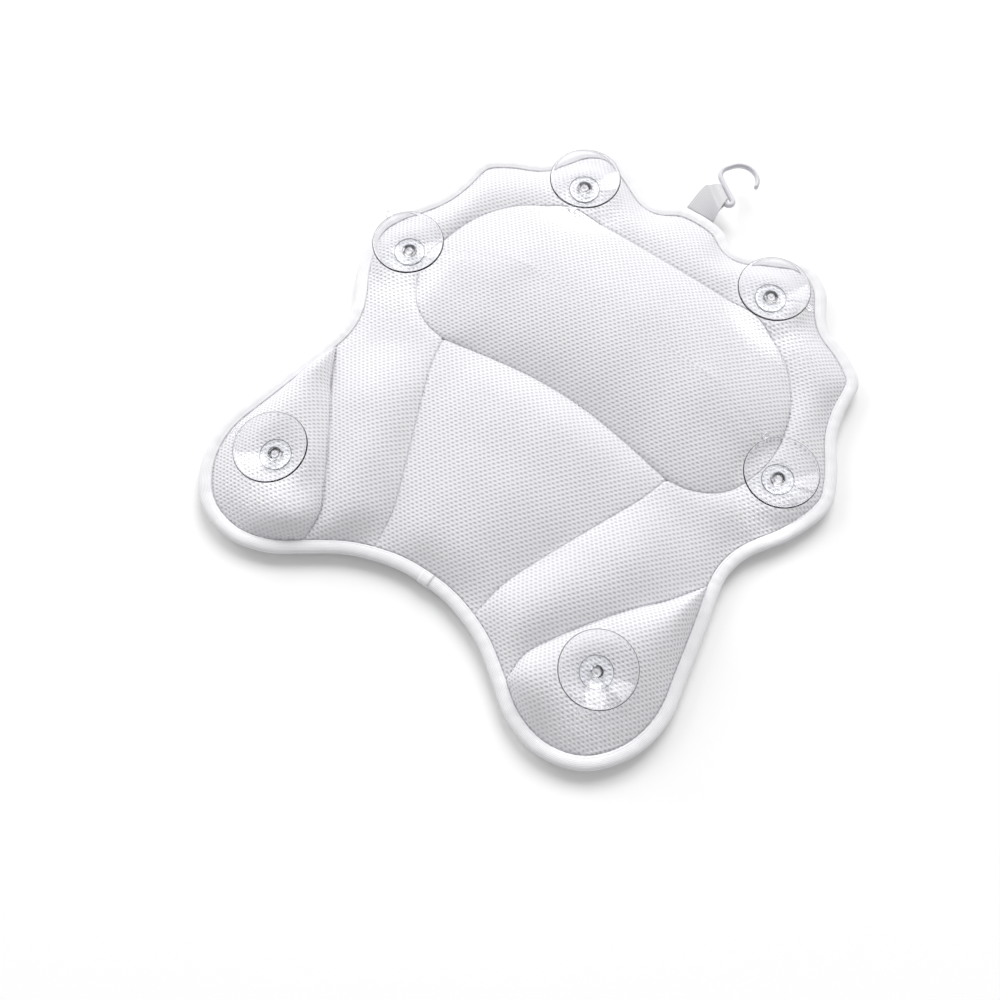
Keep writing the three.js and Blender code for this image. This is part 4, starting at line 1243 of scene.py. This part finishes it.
class BATHPILLOW_OT_suction_cups(bpy.types.Operator):
    """Builds the six clear suction cups and their washers"""

    bl_idname = "bath_pillow.suction_cups"
    bl_label = "Suction Cups"

    def execute(self, context):
        sizes = context.scene.bath_pillow_cups
        clear = clear_vinyl_material("clear_vinyl", sizes.colour)
        # The second material paints shade: a dark tint for the thin dark line along each rim and washer edge.
        edge = clear_vinyl_material("clear_vinyl_painted_rim_shade", sizes.rim_shade_colour)
        for name, (seat, axis) in cup_seats().items():
            turn = Vector((0, 0, 1)).rotation_difference(axis).to_matrix().to_4x4()
            place = Matrix.Translation(seat) @ turn
            cup = self.cup(f"{name}_suction_cup", sizes, math.radians(CUPS[name]))
            washer = self.washer(f"{name}_clear_washer", sizes)
            for piece in (cup, washer):
                paint(piece, clear)
                piece.data.materials.append(edge)
            # Painted shade as a dark line round the cup's rim and round the washer's edge
            self.paint_rim_shade(cup, sizes.rim_radius, 0.6 * MM, above=sizes.floor_height)
            self.paint_rim_shade(washer, sizes.washer_radius, 1 * MM, above=-1)
            for piece in (cup, washer):
                piece.data.transform(place)
            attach(cup, f"{name}_cup")
            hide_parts(f"{name}_cup")
            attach(washer, "pillow")
            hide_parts(f"{name}_washer")
            paint(frame["nodes"][f"{name}_backing_washer"], clear)
        return {"FINISHED"}

    @staticmethod
    def paint_rim_shade(piece, radius, width, above):
        """Gives the faces of the outermost ring a dark tint, painted shade for the thin dark line along the
        edge.
        """
        for polygon in piece.data.polygons:
            centre = polygon.center
            if radius - width < math.hypot(centre.x, centre.y) < radius + 0.1 * MM and centre.z > above:
                polygon.material_index = 1

    @staticmethod
    def cup(name, sizes, tab_turn):
        """Dish facing up, with its hub, the stem through the cover and the head that holds it."""
        floor, depth, rim = sizes.floor_height, sizes.depth, sizes.rim_radius
        pit, lip = 3.5 * MM, 1.0 * MM
        stem, head, head_nose, hub, hub_flare = (radius * MM for radius in (3, 5.2, 3.6, 4.8, 5.7))
        head_bottom, head_top = -9.9 * MM, -7 * MM
        hub_bottom = sizes.washer_thickness + 0.3 * MM
        hub_wall, rim_wall = 2.6 * MM, 0.8 * MM

        def dish(share):
            return floor + depth * share**1.35

        def spread(share):
            return pit + (rim - lip - pit) * share

        profile = [(0, head_bottom), (head_nose, head_bottom + 0.3 * MM), (head, head_top - 1.2 * MM)]
        profile += [(head, head_top), (stem, head_top + 0.1 * MM), (stem, hub_bottom), (hub, hub_bottom)]
        profile += [(hub_flare - 0.4 * MM, hub_bottom + 0.3 * MM), (hub_flare, hub_bottom + 0.8 * MM)]
        for share in np.linspace(0.14, 0.94, 12):
            wall = hub_wall + (rim_wall - hub_wall) * share**0.7
            profile.append((spread(share) + 0.35 * wall, dish(share) - 0.85 * wall))
        top = floor + depth
        profile += [(rim - 0.2 * MM, top - 0.75 * MM), (rim, top - 0.4 * MM)]
        profile += [(rim - 0.15 * MM, top - 0.08 * MM), (rim - 0.5 * MM, top), (rim - lip, top - 0.06 * MM)]
        profile += [(spread(share), dish(share) - 0.06 * MM) for share in np.linspace(0.95, 0.02, 16)]
        profile += [(pit * 0.93, floor - 0.2 * MM), (pit * 0.8, floor - 0.35 * MM)]
        profile += [(1.9 * MM, floor - 0.4 * MM), (1.5 * MM, floor - 0.15 * MM), (0, floor - 0.1 * MM)]
        vertices, faces = lathe(profile, 80)
        tab_vertices, tab_faces = release_tab(rim, top - 0.35 * MM, tab_turn)
        faces += [tuple(i + len(vertices) for i in face) for face in tab_faces]
        return link_mesh(name, vertices + tab_vertices, faces)

    @staticmethod
    def washer(name, sizes):
        inner, outer, thick = 3.3 * MM, sizes.washer_radius, sizes.washer_thickness
        edge = 0.45 * MM
        profile = [
            (inner, 0.1 * MM), (outer - edge, 0), (outer - 0.1 * MM, 0.15 * MM), (outer, edge),
            (outer, thick - edge), (outer - 0.13 * MM, thick - 0.13 * MM), (outer - edge, thick),
            (outer - 2.2 * MM, thick), (outer - 2.6 * MM, thick - 0.3 * MM), (inner, thick - 0.3 * MM),
        ]
        vertices, faces = lathe(profile, 64)
        return link_mesh(name, vertices, faces)


def release_tab(rim, top, turn):
    """Small rounded tab with a raised ring, out from the rim."""
    half_width, length, thick, overlap = 3 * MM, 5.5 * MM, 1.1 * MM, 0.9 * MM
    ring_radius, ring_thickness, sunk = 1.5 * MM, 0.4 * MM, 0.2 * MM
    end = rim + length - half_width
    outline = [(rim - overlap, -half_width), (end, -half_width)]
    for angle in np.linspace(-math.pi / 2, math.pi / 2, 13)[1:-1]:
        outline.append((end + half_width * math.cos(angle), half_width * math.sin(angle)))
    outline += [(end, half_width), (rim - overlap, half_width)]
    middle = np.array([rim + length / 2, 0])
    rings = [
        [(*(middle + (np.array(point) - middle) * shrink), top - down * thick) for point in outline]
        for down, shrink in ((1, 0.9), (0.8, 1), (0.2, 1), (0, 0.9))
    ]
    vertices = [vertex for ring in rings for vertex in ring]
    faces = [face[::-1] for face in closed_sweep(rings, closed=False)]
    tube = [
        (ring_radius + ring_thickness * math.cos(angle), ring_thickness * math.sin(angle))
        for angle in np.linspace(0, 2 * math.pi, 10, endpoint=False)
    ]
    ring_vertices, ring_faces = lathe(tube, 24)
    faces += [tuple(i + len(vertices) for i in face) for face in ring_faces]
    vertices += [(x + end, y, z + top + sunk) for x, y, z in ring_vertices]
    cosine, sine = math.cos(turn), math.sin(turn)
    turned = [(x * cosine - y * sine, x * sine + y * cosine, z) for x, y, z in vertices]
    return turned, faces


def hanger_lines():
    """The hook's tail in the strap and the strap's start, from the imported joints."""
    swing, flex = joints.get("hook_swing"), joints.get("strap_flex")
    if swing is None or flex is None:
        raise RuntimeError("the packed part lacks the hanger's joints")
    tail, along = np.array(swing["pos_m"]), np.array(swing["axis"])
    along = along / np.linalg.norm(along)
    aside = np.array([along[1], -along[0], 0])
    return tail, along, aside, np.array(flex["pos_m"])


class BATHPILLOW_OT_hanging_strap(bpy.types.Operator):
    """Builds the webbing loop that holds the hook"""

    bl_idname = "bath_pillow.hanging_strap"
    bl_label = "Hanging Strap"

    def execute(self, context):
        sizes = context.scene.bath_pillow_hanger
        piece = self.loop(sizes)
        paint(piece, woven_material("strap_webbing", sizes.strap_colour, 1.6 * MM, 1.1 * MM))
        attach(piece, "hanging_strap")
        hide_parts("hanging_strap")
        return {"FINISHED"}

    @staticmethod
    def loop(sizes):
        """Two layers from the binding to the hook's tail, round it and back, ruled across the width."""
        tail, along, aside, base = hanger_lines()
        up = np.array([0, 0, 1])
        thick = sizes.webbing_thickness
        eye = sizes.rod_radius + 0.3 * MM
        # From the strap's left edge to its right: where it lies on the tail, how far its slack
        # bulges sideways and outwards, and how it turns to meet the tail
        edges = np.array([(19 * MM, 2.2 * MM), (-14 * MM, 9 * MM), (22 * MM, 4 * MM), (-0.36, 0.7)])
        # How far the two layers have parted at each distance from the tail
        partings = np.array([(7, 0), (6, 0.2), (5.2, 0.6), (4.4, 1.1), (3.5, 1.65), (2.6, 2.15), (1.3, 2.4)])
        rings, lay = [], []
        for width in bunched(14):
            on_tail, sideways, outwards, turn = edges[:, 0] + (edges[:, 1] - edges[:, 0]) * width
            end = tail + along * on_tail
            start = base + np.array([(width - 0.5) * sizes.strap_width, 0, 0])
            slack = np.array([sideways, base[1] + outwards, 0])
            arrive = aside + along * turn
            far = end - arrive * partings[0, 0] * MM
            line = []
            for share in np.linspace(0, 1, 9)[:-1]:
                point = (1 - share) ** 2 * start + 2 * share * (1 - share) * slack + share**2 * far
                point[2] = start[2] + (end[2] - start[2]) * math.sin(math.pi / 2 * share)
                line.append((point, 0.0))
            line += [(end - arrive * distance, parting) for distance, parting in partings * MM]

            def wrap(radius, first, last, end=end, arrive=arrive):
                return [
                    end + (arrive * math.cos(a) + up * math.sin(a)) * radius
                    for a in np.radians(np.linspace(first, last, 13))
                ]

            upper = [p + up * (parting + thick) for p, parting in line]
            lower = [p - up * (parting + thick) for p, parting in line]
            inner_upper = [p + up * max(parting, 0.02 * MM) for p, parting in line]
            inner_lower = [p - up * max(parting, 0.02 * MM) for p, parting in line]
            base_top = start + [0, -0.8 * thick, 0.5 * thick]
            base_low = start + [0, -0.8 * thick, -0.5 * thick]
            ring = upper + wrap(eye + thick, 90, -90) + lower[::-1]
            ring += [base_low, base_low + [0, 0.3 * MM, 0.4 * thick]]
            ring += inner_lower[1:] + wrap(eye, -90, 90) + inner_upper[:0:-1]
            ring += [base_top + [0, 0.3 * MM, -0.4 * thick], base_top]
            ring = np.array(ring)
            steps = np.linalg.norm(np.diff(np.vstack([ring[-1:], ring]), axis=0), axis=1)
            rings.append(ring)
            lay.append(np.column_stack([np.cumsum(steps), np.full(len(ring), width * sizes.strap_width)]))
        return sweep("strap_webbing_loop", rings, lay=lay)


class BATHPILLOW_OT_hook(bpy.types.Operator):
    """Builds the white plastic hook"""

    bl_idname = "bath_pillow.hook"
    bl_label = "Hook"

    def execute(self, context):
        sizes = context.scene.bath_pillow_hanger
        tail, along, aside, _ = hanger_lines()
        tail_end, start, leg, riser = (place * MM for place in (16.5, 2, 24, 5.5))
        bend, corner, curl = 3.1 * MM, 8 * MM, 14 * MM
        curl_turn = math.radians(145)
        path = [(u, 0) for u in np.linspace(tail_end, start, 6)]
        path += [
            (start - bend * math.sin(a), bend * (1 - math.cos(a))) for a in np.linspace(0, math.pi, 11)[1:-1]
        ]
        path += [(u, 2 * bend) for u in np.linspace(start, leg, 8)]
        path += [
            (leg + corner * math.sin(a), 2 * bend + corner * (1 - math.cos(a)))
            for a in np.linspace(0, math.pi / 2, 12)[1:]
        ]
        centre = leg + corner - curl
        path += [
            (centre + curl * math.cos(a), 2 * bend + corner + riser + curl * math.sin(a))
            for a in np.linspace(0, curl_turn, 34)
        ]
        line = smooth_points([tail + along * u + aside * v for u, v in path], steps=2)
        piece = sweep("plastic_hook", self.rings(line, sizes.rod_radius))
        paint(piece, white_plastic_material(sizes.hook_colour))
        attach(piece, "hook")
        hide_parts("hook")
        return {"FINISHED"}

    @staticmethod
    def rings(line, rod):
        """Round rod with rounded ends that flattens into a band along the curl."""
        along = np.gradient(line, axis=0)
        along /= np.linalg.norm(along, axis=1)[:, None]
        reach = np.concatenate([[0], np.cumsum(np.linalg.norm(np.diff(line, axis=0), axis=1))])
        up = np.array([0, 0, 1.0])
        tip_length, cap_length = 2 * MM, 2.2 * MM
        band_start, band_end = 48 * MM, 64 * MM
        rings = []
        for point, direction, distance in zip(line, along, reach):
            aside = np.cross(direction, up)
            swell = min(
                math.sqrt(max(0.02, 1 - max(0, 1 - gone / length) ** 2))
                for gone, length in ((reach[-1] - distance, tip_length), (distance, cap_length))
            )
            flat = eased(distance, band_start, band_end)
            wide, tall = rod * (1 - 0.16 * flat), rod * (1 + 0.22 * flat)
            rings.append([
                point + aside * wide * swell * math.cos(a) + up * tall * swell * math.sin(a)
                for a in np.linspace(0, 2 * math.pi, 24, endpoint=False)
            ])
        return rings


class BATHPILLOW_OT_stage(bpy.types.Operator):
    """Places the floor, the soft light and the camera"""

    bl_idname = "bath_pillow.stage"
    bl_label = "Stage"

    def execute(self, context):
        sizes = context.scene.bath_pillow_stage
        self.floor(sizes)
        self.light(context, sizes)
        target = Vector((5.9 * MM, -42.8 * MM, 0))
        flat = math.cos(sizes.elevation)
        away = Vector((
            math.sin(sizes.azimuth) * flat, -math.cos(sizes.azimuth) * flat, math.sin(sizes.elevation),
        ))
        data = bpy.data.cameras.new("camera")
        data.lens = sizes.lens
        data.sensor_width = 36
        data.clip_start = 0.05
        camera = bpy.data.objects.new("camera", data)
        camera.location = target + away * sizes.distance
        camera.rotation_euler = (-away).to_track_quat("-Z", "Y").to_euler()
        context.scene.collection.objects.link(camera)
        context.scene.camera = camera
        context.scene.view_settings.view_transform = "Standard"
        return {"FINISHED"}

    @staticmethod
    def floor(sizes):
        half = 3.0
        corners = [(-half, -half, 0), (half, -half, 0), (half, half, 0), (-half, half, 0)]
        floor = link_mesh("floor", corners, [(0, 1, 2, 3)], smooth=False)
        material, nodes, shader = new_material("floor")
        mottle = nodes.noise(object_vector(nodes), 3)["Fac"]
        colour = tuple(sizes.floor_colour)
        nodes.join(nodes.mix_colour(mottle, darker(colour, 0.99), colour), shader.inputs["Base Color"])
        shader.inputs["Roughness"].default_value = 0.9
        shader.inputs["Specular IOR Level"].default_value = 0.1
        floor.data.materials.append(material)

    @staticmethod
    def light(context, sizes):
        world = bpy.data.worlds.new("studio")
        world.use_nodes = True
        nodes = Tree(world.node_tree)
        background = world.node_tree.nodes["Background"]
        seen = nodes.add("ShaderNodeLightPath")
        bare = nodes.maths("MULTIPLY", seen.outputs["Is Camera Ray"], 1 - sizes.ambient)
        strength = nodes.maths("ADD", bare, sizes.ambient)
        shiny = nodes.maths("MULTIPLY", seen.outputs["Is Glossy Ray"], sizes.ambient * 0.6)
        nodes.join(nodes.maths("SUBTRACT", strength, shiny), background.inputs["Strength"])
        background.inputs["Color"].default_value = (1, 1, 1, 1)
        context.scene.world = world
        for name, place, power, shape, width, height in (
            ("key", (-1.3, 4.04, 4.24), sizes.key_power, "DISK", 4.25, 4.25),
            ("window", (-4.6, 0.8, 2.3), sizes.window_power, "RECTANGLE", 2.6, 3.6),
            ("glint", (-0.66, 0.78, 0.42), sizes.glint_power, "RECTANGLE", 0.42, 0.3),
        ):
            lamp = bpy.data.lights.new(name, "AREA")
            lamp.shape = shape
            lamp.size = width
            if shape == "RECTANGLE":
                lamp.size_y = height
            lamp.energy = power
            holder = bpy.data.objects.new(name, lamp)
            holder.location = place
            holder.rotation_euler = holder.location.to_track_quat("Z", "Y").to_euler()
            context.scene.collection.objects.link(holder)


class BATHPILLOW_PT_panel(bpy.types.Panel):
    """Lists the pieces that can be built"""

    bl_idname = "BATHPILLOW_PT_panel"
    bl_label = "Bath Pillow"
    bl_space_type = "VIEW_3D"
    bl_region_type = "UI"
    bl_category = "Bath Pillow"

    def draw(self, context):
        for operator in OPERATORS:
            self.layout.operator(operator.bl_idname)
        for name in GROUPS:
            group = getattr(context.scene, name)
            box = self.layout.box()
            for label in group.__annotations__:
                box.prop(group, label)


GROUPS = {
    "bath_pillow_quilt": BATHPILLOW_PG_quilt,
    "bath_pillow_binding": BATHPILLOW_PG_binding,
    "bath_pillow_cups": BATHPILLOW_PG_cups,
    "bath_pillow_hanger": BATHPILLOW_PG_hanger,
    "bath_pillow_stage": BATHPILLOW_PG_stage,
}
OPERATORS = (
    BATHPILLOW_OT_back_quilt, BATHPILLOW_OT_front_quilt, BATHPILLOW_OT_edge_binding,
    BATHPILLOW_OT_suction_cups, BATHPILLOW_OT_hanging_strap, BATHPILLOW_OT_hook, BATHPILLOW_OT_stage,
)


def register():
    for group in (*GROUPS.values(), *OPERATORS, BATHPILLOW_PT_panel):
        bpy.utils.register_class(group)
    for name, group in GROUPS.items():
        setattr(bpy.types.Scene, name, bpy.props.PointerProperty(type=group))


def unregister():
    for name in GROUPS:
        delattr(bpy.types.Scene, name)
    for group in reversed((*GROUPS.values(), *OPERATORS, BATHPILLOW_PT_panel)):
        bpy.utils.unregister_class(group)


def main():
    register()
    for operator in OPERATORS:
        name = operator.bl_idname.split(".")[1]
        getattr(bpy.ops.bath_pillow, name)()


if __name__ == "__main__":
    main()
